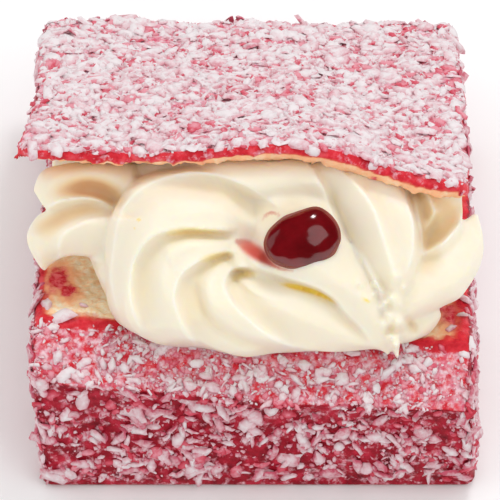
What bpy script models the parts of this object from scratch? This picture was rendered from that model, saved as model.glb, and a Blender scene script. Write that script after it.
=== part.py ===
"""Cream-filled lamington cake: a square of coated sponge, slit from its top towards the lower back edge,
opened like a mouth, filled with piped cream and finished with a drop of jam.

The front faces -Y and +Z is up. The origin is the centre of the flat underside. All sizes are in metres
unless a name says otherwise.
"""

import math

import bmesh
import bpy
import numpy as np
from mathutils import Matrix, Vector
from mathutils.geometry import tessellate_polygon

MM = 0.001

# The coated block, before it is opened.
CAKE_WIDTH = 0.0800
CAKE_DEPTH = 0.0828
CAKE_HEIGHT = 0.0284
SLAB_TILT = 0.0008  # the slab is this much thicker at its left side than in the middle
EDGE_ROUND = 0.0026  # rounding of the coated edges
SIDE_ROUND = 0.0020  # rounding between the front-to-back outline and the two sides
LEFT_TAPER = 0.0014  # the left side leans in by this much at the bottom
RIGHT_TAPER = -0.0010  # and the right side leans out
STRIP_DROP = 0.0026  # how far the strip in front of the slit slopes down to the front edge
DROP_SKEW = 0.0008  # the strip drops this much more at the right end
FRONT_LEAN = 0.0044  # how far the front face leans back at its left end
FRONT_BULGE = 0.0007
CROWN = 0.0004  # swell of the other coated faces, and hollow of the cut ones

# The slit, and how far it is opened.
STRIP_DEPTH = 0.0148  # top face left in front of the slit
SLIT_SKEW = 0.0024  # the slit starts this much nearer the front at its right end
HINGE_INSET = 0.0050  # sponge left uncut behind and below the slit
OPENING = math.radians(28.1)
LIP_THICKNESS = 0.0030  # blunt front edge of the lid
LIP_THICKENING = 0.0008  # the lip is this much thicker at its right end
LID_ARCH = 0.0029  # rise of the lid's front edge in the middle
ARCH_CENTRE = 0.15  # share of the half width
ARCH_SPREAD = 0.40
LID_HANG = 0.0031  # fall of its right end
LID_BEND_FROM = 0.0100  # y where the lid starts to bend, before it is opened
LID_BEND_LENGTH = 0.0360
LID_FLARE = 0.0030  # the lid's left front corner spreads outwards
LID_TRIM = 0.0010  # the lid's right side stands this much further in than the base's
LID_CORNER = 0.0035  # rounding of the lid's front corners, seen from above
HINGE_ZONE = 0.0100  # height of sponge over which the back stretches to let the lid turn

# The view square to the piping: u runs right, v up and w out of the mouth, in millimetres.
PIPING_TILT = math.radians(52.0)
PIPING_ORIGIN = Vector((0.0, 0.0, 0.0200))

CLEARANCE = 0.0003  # between touching pieces
REMESH_VOXEL = 0.0007
CREAM_TRIANGLES = 6200
ROPE_STEPS = 40
POINTS_PER_RIB = 8
END_SHARE = 0.6  # length of a stroke's pointed end, as a share of its half width

# Strokes of the piping bag. A station is the stroke's inner edge (u, v), its outer edge (u, v), the depth w of
# its middle, its half thickness there and the turn of its ribs in degrees.
STROKES = {
    "swirl": {
        "ribs": 7,
        "depth": 0.30,
        "stations": [
            (1.8, -0.9, 7.2, 6.7, 20.0, 8.0, -12),
            (-0.5, -3.2, -7.9, 14.6, 22.0, 9.6, -3),
            (-1.1, -3.4, -19.9, 12.8, 22.5, 10.6, 4),
            (-1.3, -3.8, -25.6, 6.5, 23.0, 11.2, 20),
            (-1.3, -4.2, -26.7, -4.9, 23.5, 11.6, 40),
            (-0.9, -4.5, -25.3, -13.9, 24.0, 11.6, 52),
            (-0.2, -4.5, -18.6, -18.1, 24.6, 11.2, 76),
            (0.5, -4.5, -10.5, -19.0, 25.2, 10.6, 103),
            (1.6, -4.5, -2.7, -20.8, 25.7, 10.0, 124),
            (5.1, -5.6, 5.2, -19.9, 26.2, 9.0, 145),
            (15.7, -9.7, 17.7, -19.7, 27.2, 5.6, 185),
            (23.1, -17.1, 24.2, -19.7, 28.2, 1.4, 210),
        ],
    },
    "bed": {
        "ribs": 5,
        "depth": 0.10,
        "stations": [
            (-2.5, 10.3, 8.7, 15.0, 18.0, 8.0, 60),
            (-0.4, -2.7, 16.8, 5.6, 23.8, 11.2, 66),
            (12.6, -11.0, 21.7, -6.0, 26.6, 8.2, 76),
            (21.5, -17.7, 25.1, -15.0, 28.4, 3.2, 82),
            (23.1, -18.6, 24.9, -17.9, 28.6, 1.4, 84),
        ],
    },
    "top_band": {
        "ribs": 3,
        "depth": 0.04,
        "stations": [
            (-28.3, 6.9, -28.7, 16.8, 12.0, 5.0, 30),
            (-15.7, 6.9, -15.7, 16.8, 16.5, 6.5, 30),
            (-8.5, 7.8, -9.4, 16.4, 20.0, 6.5, 30),
            (6.0, 5.1, 7.2, 16.4, 24.0, 8.0, 30),
            (21.7, 5.1, 26.4, 15.0, 22.0, 6.0, 30),
            (28.5, 3.2, 33.9, 14.1, 18.5, 6.0, 30),
        ],
    },
    "heart": {
        "ribs": 3,
        "depth": 0.02,
        "stations": [
            (-6.7, -3.4, -4.3, 1.3, 23.0, 5.0, 0),
            (-3.2, -6.7, -1.1, 1.3, 24.0, 8.0, 0),
            (5.1, -8.8, 7.2, -3.4, 24.0, 6.0, 0),
        ],
    },
    "bundle": {
        "ribs": 7,
        "depth": 0.30,
        "stations": [
            (7.9, 15.9, 27.4, 15.0, 21.0, 9.5, -4),
            (11.2, 11.4, 28.9, 9.6, 22.0, 10.6, -3),
            (14.4, 5.6, 30.7, 4.9, 23.6, 10.8, 0),
            (17.0, 0.2, 31.2, -0.4, 25.0, 10.0, 2),
            (19.5, -4.5, 30.3, -5.2, 26.2, 8.6, 4),
            (22.0, -8.5, 28.2, -9.6, 27.4, 6.4, 6),
            (23.8, -13.0, 27.1, -13.5, 28.4, 4.0, 6),
            (24.4, -16.4, 26.7, -16.8, 28.6, 2.2, 6),
        ],
    },
    "petal": {
        "ribs": 5,
        "depth": 0.18,
        "stations": [
            (40.4, 5.6, 41.3, 5.1, 19.0, 1.2, 40),
            (37.5, 3.6, 42.2, 0.5, 20.0, 4.2, 38),
            (30.3, -2.2, 38.3, -9.4, 23.0, 8.0, 28),
            (27.6, -5.8, 33.6, -11.9, 24.6, 7.6, 22),
            (26.0, -9.4, 29.6, -13.7, 26.0, 5.6, 15),
            (24.9, -13.5, 27.1, -16.1, 27.4, 3.0, 10),
        ],
    },
    "long_prong": {
        "ribs": 3,
        "depth": 0.10,
        "stations": [
            (24.5, -14.3, 26.7, -14.3, 27.6, 1.6, 0),
            (24.9, -17.5, 26.7, -17.5, 28.2, 1.2, 0),
            (25.6, -20.0, 26.7, -19.9, 28.4, 0.9, 0),
            (26.0, -21.1, 26.5, -21.1, 28.4, 0.5, 0),
        ],
    },
    "short_prong": {
        "ribs": 3,
        "depth": 0.10,
        "stations": [
            (23.1, -15.7, 25.3, -15.7, 27.8, 1.4, 0),
            (23.8, -18.4, 25.1, -18.2, 28.0, 1.1, 0),
            (24.2, -20.2, 24.9, -20.0, 28.0, 0.6, 0),
        ],
    },
    "right_fold": {
        "ribs": 6,
        "depth": 0.24,
        "stations": [
            (26.4, 15.0, 38.6, 14.1, 17.0, 7.0, 0),
            (28.2, 3.8, 37.9, 4.2, 19.5, 7.4, 10),
            (28.9, -1.3, 37.2, -2.2, 20.0, 7.0, 15),
            (28.5, -5.8, 33.9, -7.6, 20.5, 5.0, 15),
        ],
    },
    "lower_lobe": {
        "ribs": 3,
        "depth": 0.06,
        "stations": [
            (33.9, -11.7, 33.2, -15.3, 22.0, 2.0, 0),
            (31.8, -11.7, 31.4, -17.1, 23.0, 3.4, 0),
            (28.9, -12.5, 28.5, -18.1, 24.0, 3.8, 0),
            (26.4, -13.5, 26.0, -18.4, 25.0, 3.0, 0),
        ],
    },
    "left_curl": {
        "ribs": 5,
        "depth": 0.26,
        "stations": [
            (-21.7, -3.4, -22.0, 7.8, 15.5, 7.0, 10),
            (-30.0, -2.7, -31.0, 8.3, 18.6, 7.2, 9),
            (-32.9, -2.5, -35.6, 6.7, 19.0, 6.6, 4),
            (-35.4, -3.2, -39.4, 4.9, 18.6, 5.8, -6),
            (-37.0, -4.2, -41.2, 1.3, 17.8, 4.2, -16),
            (-37.5, -5.2, -39.7, -2.5, 16.8, 1.6, -20),
        ],
    },
    "left_tongue": {
        "ribs": 4,
        "depth": 0.14,
        "stations": [
            (-21.7, 6.3, -21.7, 15.0, 19.0, 4.4, 20),
            (-34.3, 6.1, -34.7, 14.4, 21.0, 4.6, 20),
            (-37.4, 6.3, -37.9, 13.2, 20.6, 3.4, 20),
            (-38.8, 8.1, -39.4, 11.0, 20.0, 1.2, 20),
        ],
    },
    "left_drip": {
        "ribs": 3,
        "depth": 0.06,
        "stations": [
            (-30.0, -1.6, -21.1, -0.4, 17.0, 4.6, 0),
            (-28.9, -5.2, -21.1, -4.5, 17.5, 4.8, 0),
            (-27.6, -8.5, -21.1, -8.5, 17.0, 4.2, 0),
            (-26.5, -10.8, -22.4, -11.4, 15.5, 2.2, 0),
        ],
    },
}

# The filling behind the strokes: (u, share of the slit's depth where it starts) from left to right.
CORE_FRONT = [(-37.0, 0.46), (-24.0, 0.40), (-14.0, 0.16), (0.0, 0.12), (20.0, 0.16), (30.0, 0.26), (37.0, 0.34)]
CORE_BACK = 0.93
CORE_CLEAR = 0.0006

# The jam drop.
JAM_CENTRE = (9.4, 1.2, 34.4)  # u, v, w
JAM_SIZE = (13.2, 10.8, 6.6)  # along u, v and w
JAM_TURN = math.radians(12.0)
JAM_POINT = 0.12  # how much narrower its left end is


def clear_scene():
    for obj in list(bpy.data.objects):
        bpy.data.objects.remove(obj, do_unlink=True)


def new_collection(name, hidden=False):
    collection = bpy.data.collections.new(name)
    collection.hide_render = hidden
    bpy.context.scene.collection.children.link(collection)
    return collection


def simple_material(name, colour, roughness):
    material = bpy.data.materials.new(name)
    material.use_nodes = True
    shader = material.node_tree.nodes["Principled BSDF"]
    shader.inputs["Base Color"].default_value = (*colour, 1.0)
    shader.inputs["Roughness"].default_value = roughness
    shader.inputs["Metallic"].default_value = 0.0
    return material


def new_object(name, bm, collection, material=None):
    mesh = bpy.data.meshes.new(name)
    bmesh.ops.recalc_face_normals(bm, faces=bm.faces)
    bm.to_mesh(mesh)
    bm.free()
    obj = bpy.data.objects.new(name, mesh)
    collection.objects.link(obj)
    if material:
        mesh.materials.append(material)
    return obj


def apply_modifiers(obj):
    """Replaces the object's mesh by the result of its modifiers."""
    depsgraph = bpy.context.evaluated_depsgraph_get()
    mesh = bpy.data.meshes.new_from_object(obj.evaluated_get(depsgraph))
    obj.modifiers.clear()
    obj.data = mesh


def smooth(t):
    t = min(max(t, 0.0), 1.0)
    return t * t * (3 - 2 * t)


# ---------------------------------------------------------------- the sponge cake


def arc(centre, radius, start, end, count):
    """Points of an arc in the YZ plane, in degrees from +Y towards +Z, both ends included."""
    angles = [math.radians(start + (end - start) * i / (count - 1)) for i in range(count)]
    return [(centre[0] + radius * math.cos(a), centre[1] + radius * math.sin(a)) for a in angles]


def between(start, end, count, bow):
    """Points strictly between two ends, bowed to the left of the way from one to the other."""
    dy, dz = end[0] - start[0], end[1] - start[1]
    length = math.hypot(dy, dz)
    points = []
    for i in range(count):
        t = (i + 1) / (count + 1)
        off = bow * math.sin(math.pi * t) / length
        points.append((start[0] + dy * t - dz * off, start[1] + dz * t + dy * off))
    return points


def still(points):
    return [(y, z, 0.0) for y, z in points]


def turning(points):
    return [(y, z, 1.0) for y, z in points]


def cake_outline(share, inset):
    """Outline of the closed block at one share of its width, as (y, z, lid) points in order.

    lid is 1 for points that turn with the lid when the slit opens. inset draws the coated faces in.
    """
    front, back = -CAKE_DEPTH / 2 + inset, CAKE_DEPTH / 2 - inset
    top = CAKE_HEIGHT - SLAB_TILT * share - inset
    brow = top - STRIP_DROP - DROP_SKEW * share
    lean = FRONT_LEAN * (1 - share) / 2
    hinge = (CAKE_DEPTH / 2 - HINGE_INSET, HINGE_INSET)
    slit = -CAKE_DEPTH / 2 + STRIP_DEPTH - SLIT_SKEW * share
    lip = LIP_THICKNESS + LIP_THICKENING * share
    foot = 0.5 * EDGE_ROUND
    edge = (front + lean + EDGE_ROUND, brow - EDGE_ROUND)
    mouth = (slit, top)
    underlip = (slit + 0.10 * lip, top - lip)

    outline = still(arc((front + foot, foot), foot, 270, 180, 3))
    outline += still(between((front, foot), (front + lean, brow - EDGE_ROUND), 5, FRONT_BULGE))
    outline += still(arc(edge, EDGE_ROUND, 180, 98, 4))
    outline += still(between((edge[0], brow), mouth, 3, CROWN) + [mouth])
    outline += still(between(mouth, hinge, 9, -CROWN) + [hinge])
    outline += turning(between(hinge, underlip, 9, -CROWN) + [underlip, (slit - 0.10 * lip, top - 0.5 * lip)])
    outline += turning([(slit + 0.15 * lip, top)])
    outline += turning(between((slit + 0.15 * lip, top), (back - EDGE_ROUND, top), 11, CROWN))
    outline += turning(arc((back - EDGE_ROUND, top - EDGE_ROUND), EDGE_ROUND, 90, 0, 4))
    for y, z in between((back, top - EDGE_ROUND), (back, foot), 6, CROWN):
        outline.append((y, z, smooth((z - foot) / HINGE_ZONE)))
    outline += still(arc((back - foot, foot), foot, 0, -90, 3))
    return outline


def lid_rise(share):
    """Rise of the lid's front edge along its width."""
    arch = LID_ARCH * math.exp(-(((share - ARCH_CENTRE) / ARCH_SPREAD) ** 2))
    return arch - LID_HANG * smooth((share - 0.35) / 0.65)


def place_point(share, y, z, lid):
    """Where a point of the closed block lies once the cake is opened."""
    hinge_y, hinge_z = CAKE_DEPTH / 2 - HINGE_INSET, HINGE_INSET
    x = share * CAKE_WIDTH / 2
    foot = (1 - smooth(z / CAKE_HEIGHT)) * (1 - lid)
    ahead = lid * smooth((-0.002 - y) / 0.024)
    if share < 0:
        x -= share * LEFT_TAPER * foot
        x += share * LID_FLARE * ahead * abs(share) ** 3
    else:
        x -= share * (RIGHT_TAPER * foot + LID_TRIM * lid * (1 - 0.5 * ahead))
    y += LID_CORNER * ahead * smooth((abs(share) - 0.90) / 0.12) ** 2
    z += lid * lid_rise(share) * smooth((LID_BEND_FROM - y) / LID_BEND_LENGTH)
    dy, dz = y - hinge_y, z - hinge_z
    cosine, sine = math.cos(OPENING * lid), math.sin(OPENING * lid)
    return x, hinge_y + dy * cosine + dz * sine, hinge_z - dy * sine + dz * cosine


def cake_stations():
    """(share of the half width, inset of the coated faces) of each section, from left to right."""
    half = CAKE_WIDTH / 2
    rounding = []
    for i in range(4):
        angle = math.radians(30 * i)
        x = half - SIDE_ROUND + SIDE_ROUND * math.sin(angle)
        rounding.append((x / half, SIDE_ROUND * (1 - math.cos(angle))))
    flat = rounding[0][0]
    middle = [(flat * (-1 + 2 * i / 15), 0.0) for i in range(1, 15)]
    return [(-s, inset) for s, inset in reversed(rounding)] + middle + rounding


def build_cake(collection, material):
    bm = bmesh.new()
    rings = []
    for share, inset in cake_stations():
        points = [place_point(share, *point) for point in cake_outline(share, inset)]
        rings.append([bm.verts.new(point) for point in points])
    for left, right in zip(rings, rings[1:]):
        for i in range(len(left)):
            j = (i + 1) % len(left)
            bm.faces.new((left[i], left[j], right[j], right[i]))
    for ring in (rings[0], rings[-1]):
        flat = [Vector((0.0, vert.co.y, vert.co.z)) for vert in ring]
        for triangle in tessellate_polygon([flat]):
            bm.faces.new([ring[i] for i in triangle])
    cake = new_object("sponge_cake", bm, collection, material)
    cake.data.shade_smooth()
    cake.data.set_sharp_from_angle(angle=math.radians(38))
    return cake


# ---------------------------------------------------------------- the piped cream


def piping_axes():
    u_axis = Vector((1.0, 0.0, 0.0))
    v_axis = Vector((0.0, math.sin(PIPING_TILT), math.cos(PIPING_TILT)))
    return u_axis, v_axis, u_axis.cross(v_axis)


def piping_point(u, v, w):
    u_axis, v_axis, w_axis = piping_axes()
    return PIPING_ORIGIN + (u * u_axis + v * v_axis + w * w_axis) * MM


def smooth_path(points, count):
    """Samples of a smooth curve through points of any dimension (Catmull-Rom)."""
    points = np.array(points, float)
    ends = [2 * points[0] - points[1], *points, 2 * points[-1] - points[-2]]
    samples = []
    for step in np.linspace(0, len(points) - 1, count):
        k = min(int(step), len(points) - 2)
        t = step - k
        a, b, c, d = ends[k:k + 4]
        point = 0.5 * (2 * b + (c - a) * t + (2 * a - 5 * b + 4 * c - d) * t**2
                       + (3 * b - a - 3 * c + d) * t**3)
        samples.append(point.tolist())
    return samples


def star_radius(angle, ribs, depth):
    """Share of a stroke's reach at an angle: sharp crests with wide round valleys between them."""
    return 1 - depth * abs(math.sin(ribs * angle / 2)) ** 0.8


def build_stroke(bm, ribs, depth, stations):
    """Adds one ribbed stroke of cream, laid between its inner and outer edges, with pointed ends."""
    out = piping_axes()[2]
    count = ribs * POINTS_PER_RIB
    rings, middles, reaches = [], [], []
    for u1, v1, u2, v2, w, thickness, turn in smooth_path(stations, ROPE_STEPS):
        inner, outer = piping_point(u1, v1, w), piping_point(u2, v2, w)
        middle, side = (inner + outer) / 2, (outer - inner) / 2
        ring = []
        for k in range(count):
            angle = 2 * math.pi * k / count
            reach = star_radius(angle - math.radians(turn), ribs, depth)
            offset = math.sin(angle) * side + math.cos(angle) * thickness * MM * out
            ring.append(bm.verts.new(middle + reach * offset))
        rings.append(ring)
        middles.append(middle)
        reaches.append(END_SHARE * side.length)
    for lower, upper in zip(rings, rings[1:]):
        for k in range(count):
            j = (k + 1) % count
            bm.faces.new((lower[k], lower[j], upper[j], upper[k]))
    for ring, end, before in ((rings[0], 0, 1), (rings[-1], -1, -2)):
        away = (middles[end] - middles[before]).normalized()
        tip = bm.verts.new(middles[end] + away * reaches[end])
        for k in range(count):
            bm.faces.new((ring[k], ring[(k + 1) % count], tip))


def slit_point(u, share, side):
    """A point of the opened slit: side 0 lies on the base's cut face, side 1 on the lid's."""
    across = u * MM / (CAKE_WIDTH / 2)
    slit = -CAKE_DEPTH / 2 + STRIP_DEPTH - SLIT_SKEW * across
    top = CAKE_HEIGHT - SLAB_TILT * across
    y = slit + (CAKE_DEPTH / 2 - HINGE_INSET - slit) * share
    z = top + (HINGE_INSET - top) * share - LIP_THICKNESS * side * (1 - share)
    return Vector(place_point(across, y, z, side))


def build_core(bm):
    """Adds the wedge of cream inside the slit."""
    rings = []
    for u, start in smooth_path(CORE_FRONT, 15):
        corners = []
        for share, side in ((start, 0), (CORE_BACK, 0), (CORE_BACK, 1), (start, 1)):
            point, other = slit_point(u, share, side), slit_point(u, share, 1 - side)
            corners.append(point + (other - point).normalized() * CORE_CLEAR)
        rings.append([bm.verts.new(corner) for corner in corners])
    for left, right in zip(rings, rings[1:]):
        for i in range(4):
            j = (i + 1) % 4
            bm.faces.new((left[i], left[j], right[j], right[i]))
    bm.faces.new(rings[0])
    bm.faces.new(rings[-1])


def grown_copy(obj, collection, amount):
    """A copy of a piece with its faces moved outwards, for cutting its place out of the cream."""
    copy = bpy.data.objects.new(obj.name + "_clearance", obj.data.copy())
    collection.objects.link(copy)
    copy.display_type = "WIRE"
    grow = copy.modifiers.new("grow", "DISPLACE")
    grow.direction = "NORMAL"
    grow.mid_level = 0.0
    grow.strength = amount
    apply_modifiers(copy)
    return copy


def keep_largest_part(obj):
    """Drops any loose scraps that cutting has left."""
    bm = bmesh.new()
    bm.from_mesh(obj.data)
    parts, seen = [], set()
    for start in bm.verts:
        if start in seen:
            continue
        part, queue = [], [start]
        seen.add(start)
        while queue:
            vert = queue.pop()
            part.append(vert)
            for edge in vert.link_edges:
                other = edge.other_vert(vert)
                if other not in seen:
                    seen.add(other)
                    queue.append(other)
        parts.append(part)
    parts.sort(key=len)
    bmesh.ops.delete(bm, geom=[vert for part in parts[:-1] for vert in part], context="VERTS")
    bm.to_mesh(obj.data)
    bm.free()


def build_cream(collection, material, cutters):
    bm = bmesh.new()
    build_core(bm)
    for stroke in STROKES.values():
        build_stroke(bm, stroke["ribs"], stroke["depth"], stroke["stations"])
    cream = new_object("piped_cream", bm, collection, material)
    remesh = cream.modifiers.new("fuse", "REMESH")
    remesh.mode = "VOXEL"
    remesh.voxel_size = REMESH_VOXEL
    ease = cream.modifiers.new("ease", "SMOOTH")
    ease.factor = 0.5
    ease.iterations = 2
    apply_modifiers(cream)
    keep_largest_part(cream)
    thin = cream.modifiers.new("thin", "DECIMATE")
    thin.ratio = CREAM_TRIANGLES / (2 * len(cream.data.polygons))
    apply_modifiers(cream)
    for cutter in cutters:
        cut = cream.modifiers.new("cut", "BOOLEAN")
        cut.operation = "DIFFERENCE"
        cut.solver = "EXACT"
        cut.object = cutter
        apply_modifiers(cream)
    keep_largest_part(cream)
    cream.data.materials.clear()
    cream.data.materials.append(material)
    cream.data.shade_smooth()
    cream.data.set_sharp_from_angle(angle=math.radians(50))
    return cream


# ---------------------------------------------------------------- the jam


def build_jam(collection, material):
    bm = bmesh.new()
    bmesh.ops.create_uvsphere(bm, u_segments=24, v_segments=14, radius=0.5)
    u_axis, v_axis, w_axis = piping_axes()
    turn = Matrix.Rotation(JAM_TURN, 3, w_axis)
    for vert in bm.verts:
        x, y, z = vert.co
        y *= 1 + JAM_POINT * 2 * x
        offset = x * JAM_SIZE[0] * u_axis + y * JAM_SIZE[1] * v_axis + z * JAM_SIZE[2] * w_axis
        vert.co = piping_point(*JAM_CENTRE) + turn @ offset * MM
    jam = new_object("jam_drop", bm, collection, material)
    jam.data.shade_smooth()
    return jam


def main():
    clear_scene()
    parts = new_collection("lamington_cake")
    cutters = new_collection("cutters", hidden=True)
    cake = build_cake(parts, simple_material("coated sponge", (0.66, 0.13, 0.16), 0.75))
    jam = build_jam(parts, simple_material("jam", (0.17, 0.0, 0.006), 0.12))
    clearances = [grown_copy(obj, cutters, CLEARANCE) for obj in (cake, jam)]
    build_cream(parts, simple_material("cream", (0.90, 0.84, 0.68), 0.45), clearances)


main()
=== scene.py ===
"""Raspberry lamington with piped cream: the coated sponge, its coconut, the cream and the jam."""

import math

import bmesh
import bpy
import numpy as np
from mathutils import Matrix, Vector, noise
from mathutils.bvhtree import BVHTree


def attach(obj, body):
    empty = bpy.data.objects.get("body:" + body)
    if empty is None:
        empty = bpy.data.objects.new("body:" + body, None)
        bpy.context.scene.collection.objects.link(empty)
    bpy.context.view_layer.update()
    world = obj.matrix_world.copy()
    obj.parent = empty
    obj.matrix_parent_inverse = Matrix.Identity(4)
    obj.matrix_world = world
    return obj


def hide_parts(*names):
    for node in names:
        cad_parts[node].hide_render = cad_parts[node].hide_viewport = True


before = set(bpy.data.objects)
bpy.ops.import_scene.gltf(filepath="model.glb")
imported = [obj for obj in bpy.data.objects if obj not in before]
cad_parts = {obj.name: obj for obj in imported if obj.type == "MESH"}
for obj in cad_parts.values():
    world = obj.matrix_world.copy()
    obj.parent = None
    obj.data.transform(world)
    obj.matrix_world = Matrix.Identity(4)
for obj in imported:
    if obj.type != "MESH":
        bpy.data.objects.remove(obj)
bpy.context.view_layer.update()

MM = 0.001

# The opened cake, as it was cut.
CAKE_WIDTH = 0.0800
CAKE_DEPTH = 0.0828
CAKE_HEIGHT = 0.0284
HINGE_INSET = 0.0050
OPENING = math.radians(28.1)
STRIP_DEPTH = 0.0148
SLIT_SKEW = 0.0024
LIP_THICKNESS = 0.0030

# The view square to the piping: u runs right, v up and w out of the mouth, in millimetres.
PIPING_TILT = math.radians(52.0)
PIPING_ORIGIN = Vector((0.0, 0.0, 0.0200))
U_AXIS = Vector((1.0, 0.0, 0.0))
V_AXIS = Vector((0.0, math.sin(PIPING_TILT), math.cos(PIPING_TILT)))
W_AXIS = U_AXIS.cross(V_AXIS)


# ------------------------------------------------------------------ the workbench

WEIGHT_STEPS = 10
MOST_TRIANGLES = 196000  # in one piece


def deselect_all():
    if bpy.context.mode != "OBJECT":
        bpy.ops.object.mode_set(mode="OBJECT")
    bpy.ops.object.select_all(action="DESELECT")


def pick(obj):
    deselect_all()
    obj.select_set(True)
    bpy.context.view_layer.objects.active = obj


def apply_modifiers(obj):
    pick(obj)
    for modifier in list(obj.modifiers):
        bpy.ops.object.modifier_apply(modifier=modifier.name)


def smoothstep(low, high, value):
    t = np.clip((value - low) / (high - low), 0.0, 1.0)
    return t * t * (3 - 2 * t)


def points_of(obj):
    spots = np.empty(len(obj.data.vertices) * 3)
    obj.data.vertices.foreach_get("co", spots)
    return spots.reshape(-1, 3)


def normals_of(obj):
    normals = np.empty(len(obj.data.vertices) * 3)
    obj.data.vertices.foreach_get("normal", normals)
    return normals.reshape(-1, 3)


def read_attribute(obj, name):
    values = np.empty(len(obj.data.vertices))
    obj.data.attributes[name].data.foreach_get("value", values)
    return values


def write_attribute(obj, name, values):
    attribute = obj.data.attributes.new(name, "FLOAT", "POINT")
    attribute.data.foreach_set("value", np.asarray(values, dtype=np.float32))


def weigh(obj, name, values):
    """Makes a vertex group from one weight for each point, in a few steps of strength."""
    group = obj.vertex_groups.new(name=name)
    steps = np.round(np.clip(values, 0, 1) * WEIGHT_STEPS).astype(int)
    for step in range(1, WEIGHT_STEPS + 1):
        members = np.nonzero(steps == step)[0].tolist()
        if members:
            group.add(members, step / WEIGHT_STEPS, "REPLACE")


def clouds(name, size, depth=2):
    texture = bpy.data.textures.new(name, "CLOUDS")
    texture.noise_scale = size
    texture.noise_depth = depth
    return texture


def pores(name, size):
    texture = bpy.data.textures.new(name, "VORONOI")
    texture.noise_scale = size
    texture.noise_intensity = 1.0
    return texture


def roughen(obj, texture, strength, group="", middle=0.5):
    """Lifts and sinks the surface along its normals by a texture."""
    lift = obj.modifiers.new(texture.name, "DISPLACE")
    lift.texture = texture
    lift.texture_coords = "LOCAL"
    lift.strength = strength
    lift.mid_level = middle
    lift.vertex_group = group


def thin_out(obj, most=MOST_TRIANGLES):
    """Merges triangles where the surface is plainest, until no more than the most are left."""
    obj.data.calc_loop_triangles()
    count = len(obj.data.loop_triangles)
    if count > most:
        obj.modifiers.new("thin", "DECIMATE").ratio = most / count
        apply_modifiers(obj)
        obj.data.calc_loop_triangles()
    print(obj.name, len(obj.data.loop_triangles), "triangles")


# ------------------------------------------------------------------ the coated sponge

# The directions of the cut faces, and how close a face's own direction has to come to them.
CUT_BASE_NORMAL, CUT_BASE_LIKENESS = Vector((0.0, 0.315, 0.949)), 0.955
CUT_LID_NORMAL, CUT_LID_LIKENESS = Vector((0.0, -0.725, -0.690)), 0.90
LIP_NORMAL, LIP_LIKENESS = Vector((0.0, -0.994, 0.110)), 0.93
CUT_BASE_FRONT_Y, CUT_BASE_BACK_Y, CUT_BASE_TOP_Z = -0.030, 0.037, 0.030
LIP_LINE_Z = 0.0440
LIP_LEAN = -0.45
LIP_SHARPNESS = 4.0  # the coat gives way to crumb this much faster on the lip
LIP_COAT_LEFT, LIP_COAT_RIGHT = 1.05, -0.30  # height of the coat over the lip, in millimetres
LIP_COAT_LEFT_X, LIP_COAT_RIGHT_X = -0.034, 0.016
LIP_COAT_WAVES = ((0.8, 150), (0.5, 500))  # how far the coat's edge strays, and how often


def is_cut_face(face):
    """Tells the cut faces of the slit and the lid's blunt lip from the coated outside."""
    centre, normal = face.calc_center_median(), face.normal
    in_slit = CUT_BASE_FRONT_Y < centre.y < CUT_BASE_BACK_Y and centre.z < CUT_BASE_TOP_Z
    if normal.dot(CUT_BASE_NORMAL) > CUT_BASE_LIKENESS and in_slit:
        return True
    if normal.dot(CUT_LID_NORMAL) > CUT_LID_LIKENESS and centre.z > HINGE_INSET:
        return True
    return normal.dot(LIP_NORMAL) > LIP_LIKENESS and centre.z > LIP_LINE_Z


# Spots where syrup has soaked into the cut crumb: (u, v, radius) in millimetres, seen square to the piping.
SOAKED_SPOTS = [
    (-35.6, -6.4, 3.4), (-33.6, -8.6, 2.4), (37.2, -12.6, 4.6), (34.6, -10.0, 3.4), (21.8, 11.4, 0.9),
    (-39.0, -10.0, 3.0),
]
LID_CUT_Z = 0.036
LID_STAIN = 0.42

# The ledge along the top of the front, with the face below it set back.
EDGE_LEDGE = 2.0 * MM
LEDGE_LEFT_Z, LEDGE_RIGHT_Z = 0.0266, 0.0232
LEDGE_LEFT_X, LEDGE_RIGHT_X = -0.035, 0.004
LEDGE_HEIGHT = 0.0022
LEDGE_DROP = 0.0020
LEDGE_WAVES, LEDGE_WAVE_ROW = 70, 3.1
SET_BACK, STANDS_OUT = 0.8, 0.5
FOOT_FROM_Z, FOOT_TO_Z = 0.003, 0.016
SHADE_STARTS = (0.0010, 0.0018)
SHADE_ENDS = (0.0055, 0.0035)

CRUMB_GRID, QUICK_CRUMB_GRID = 0.00066, 0.0011  # mesh of the sponge, in metres
# How thickly the finest coconut clings, and how dark the coat is drawn as painted shade, most on the upright
# sides, from 0 to 1.
DUST_ON_LID, DUST_ON_STRIP, DUST_ON_SIDES, DUST_ON_LIP = 0.95, 0.66, 0.47, 0.46
COAT_SHADE_ON_LID, COAT_SHADE_ON_STRIP, COAT_SHADE_ON_SIDES = 0.1, 0.2, 1.0


def piping_spots(place):
    """Points as (u, v) in millimetres, seen square to the piping."""
    offset = (place - np.array(PIPING_ORIGIN)) / MM
    return np.column_stack([offset @ np.array(U_AXIS), offset @ np.array(V_AXIS)])


def round_patch(spots, u, v, radius):
    """How near each spot lies to the middle of a round patch, fading from 1 to 0."""
    return np.exp(-((spots[:, 0] - u) ** 2 + (spots[:, 1] - v) ** 2) / radius**2)


def syrup_stain(place):
    spots = piping_spots(place)
    stain = np.where(place[:, 2] > LID_CUT_Z, LID_STAIN, 0.0)
    for spot in SOAKED_SPOTS:
        stain = np.maximum(stain, round_patch(spots, *spot))
    return stain


def ledge_line(spots):
    """Height of the ledge along the front, and how uneven it is there."""
    uneven = np.array([noise.noise(Vector((spot[0] * LEDGE_WAVES, 0.0, LEDGE_WAVE_ROW))) for spot in spots])
    share = smoothstep(LEDGE_LEFT_X, LEDGE_RIGHT_X, spots[:, 0])
    height = LEDGE_LEFT_Z + (LEDGE_RIGHT_Z - LEDGE_LEFT_Z) * share
    return height + uneven * LEDGE_HEIGHT / 2, uneven


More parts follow.
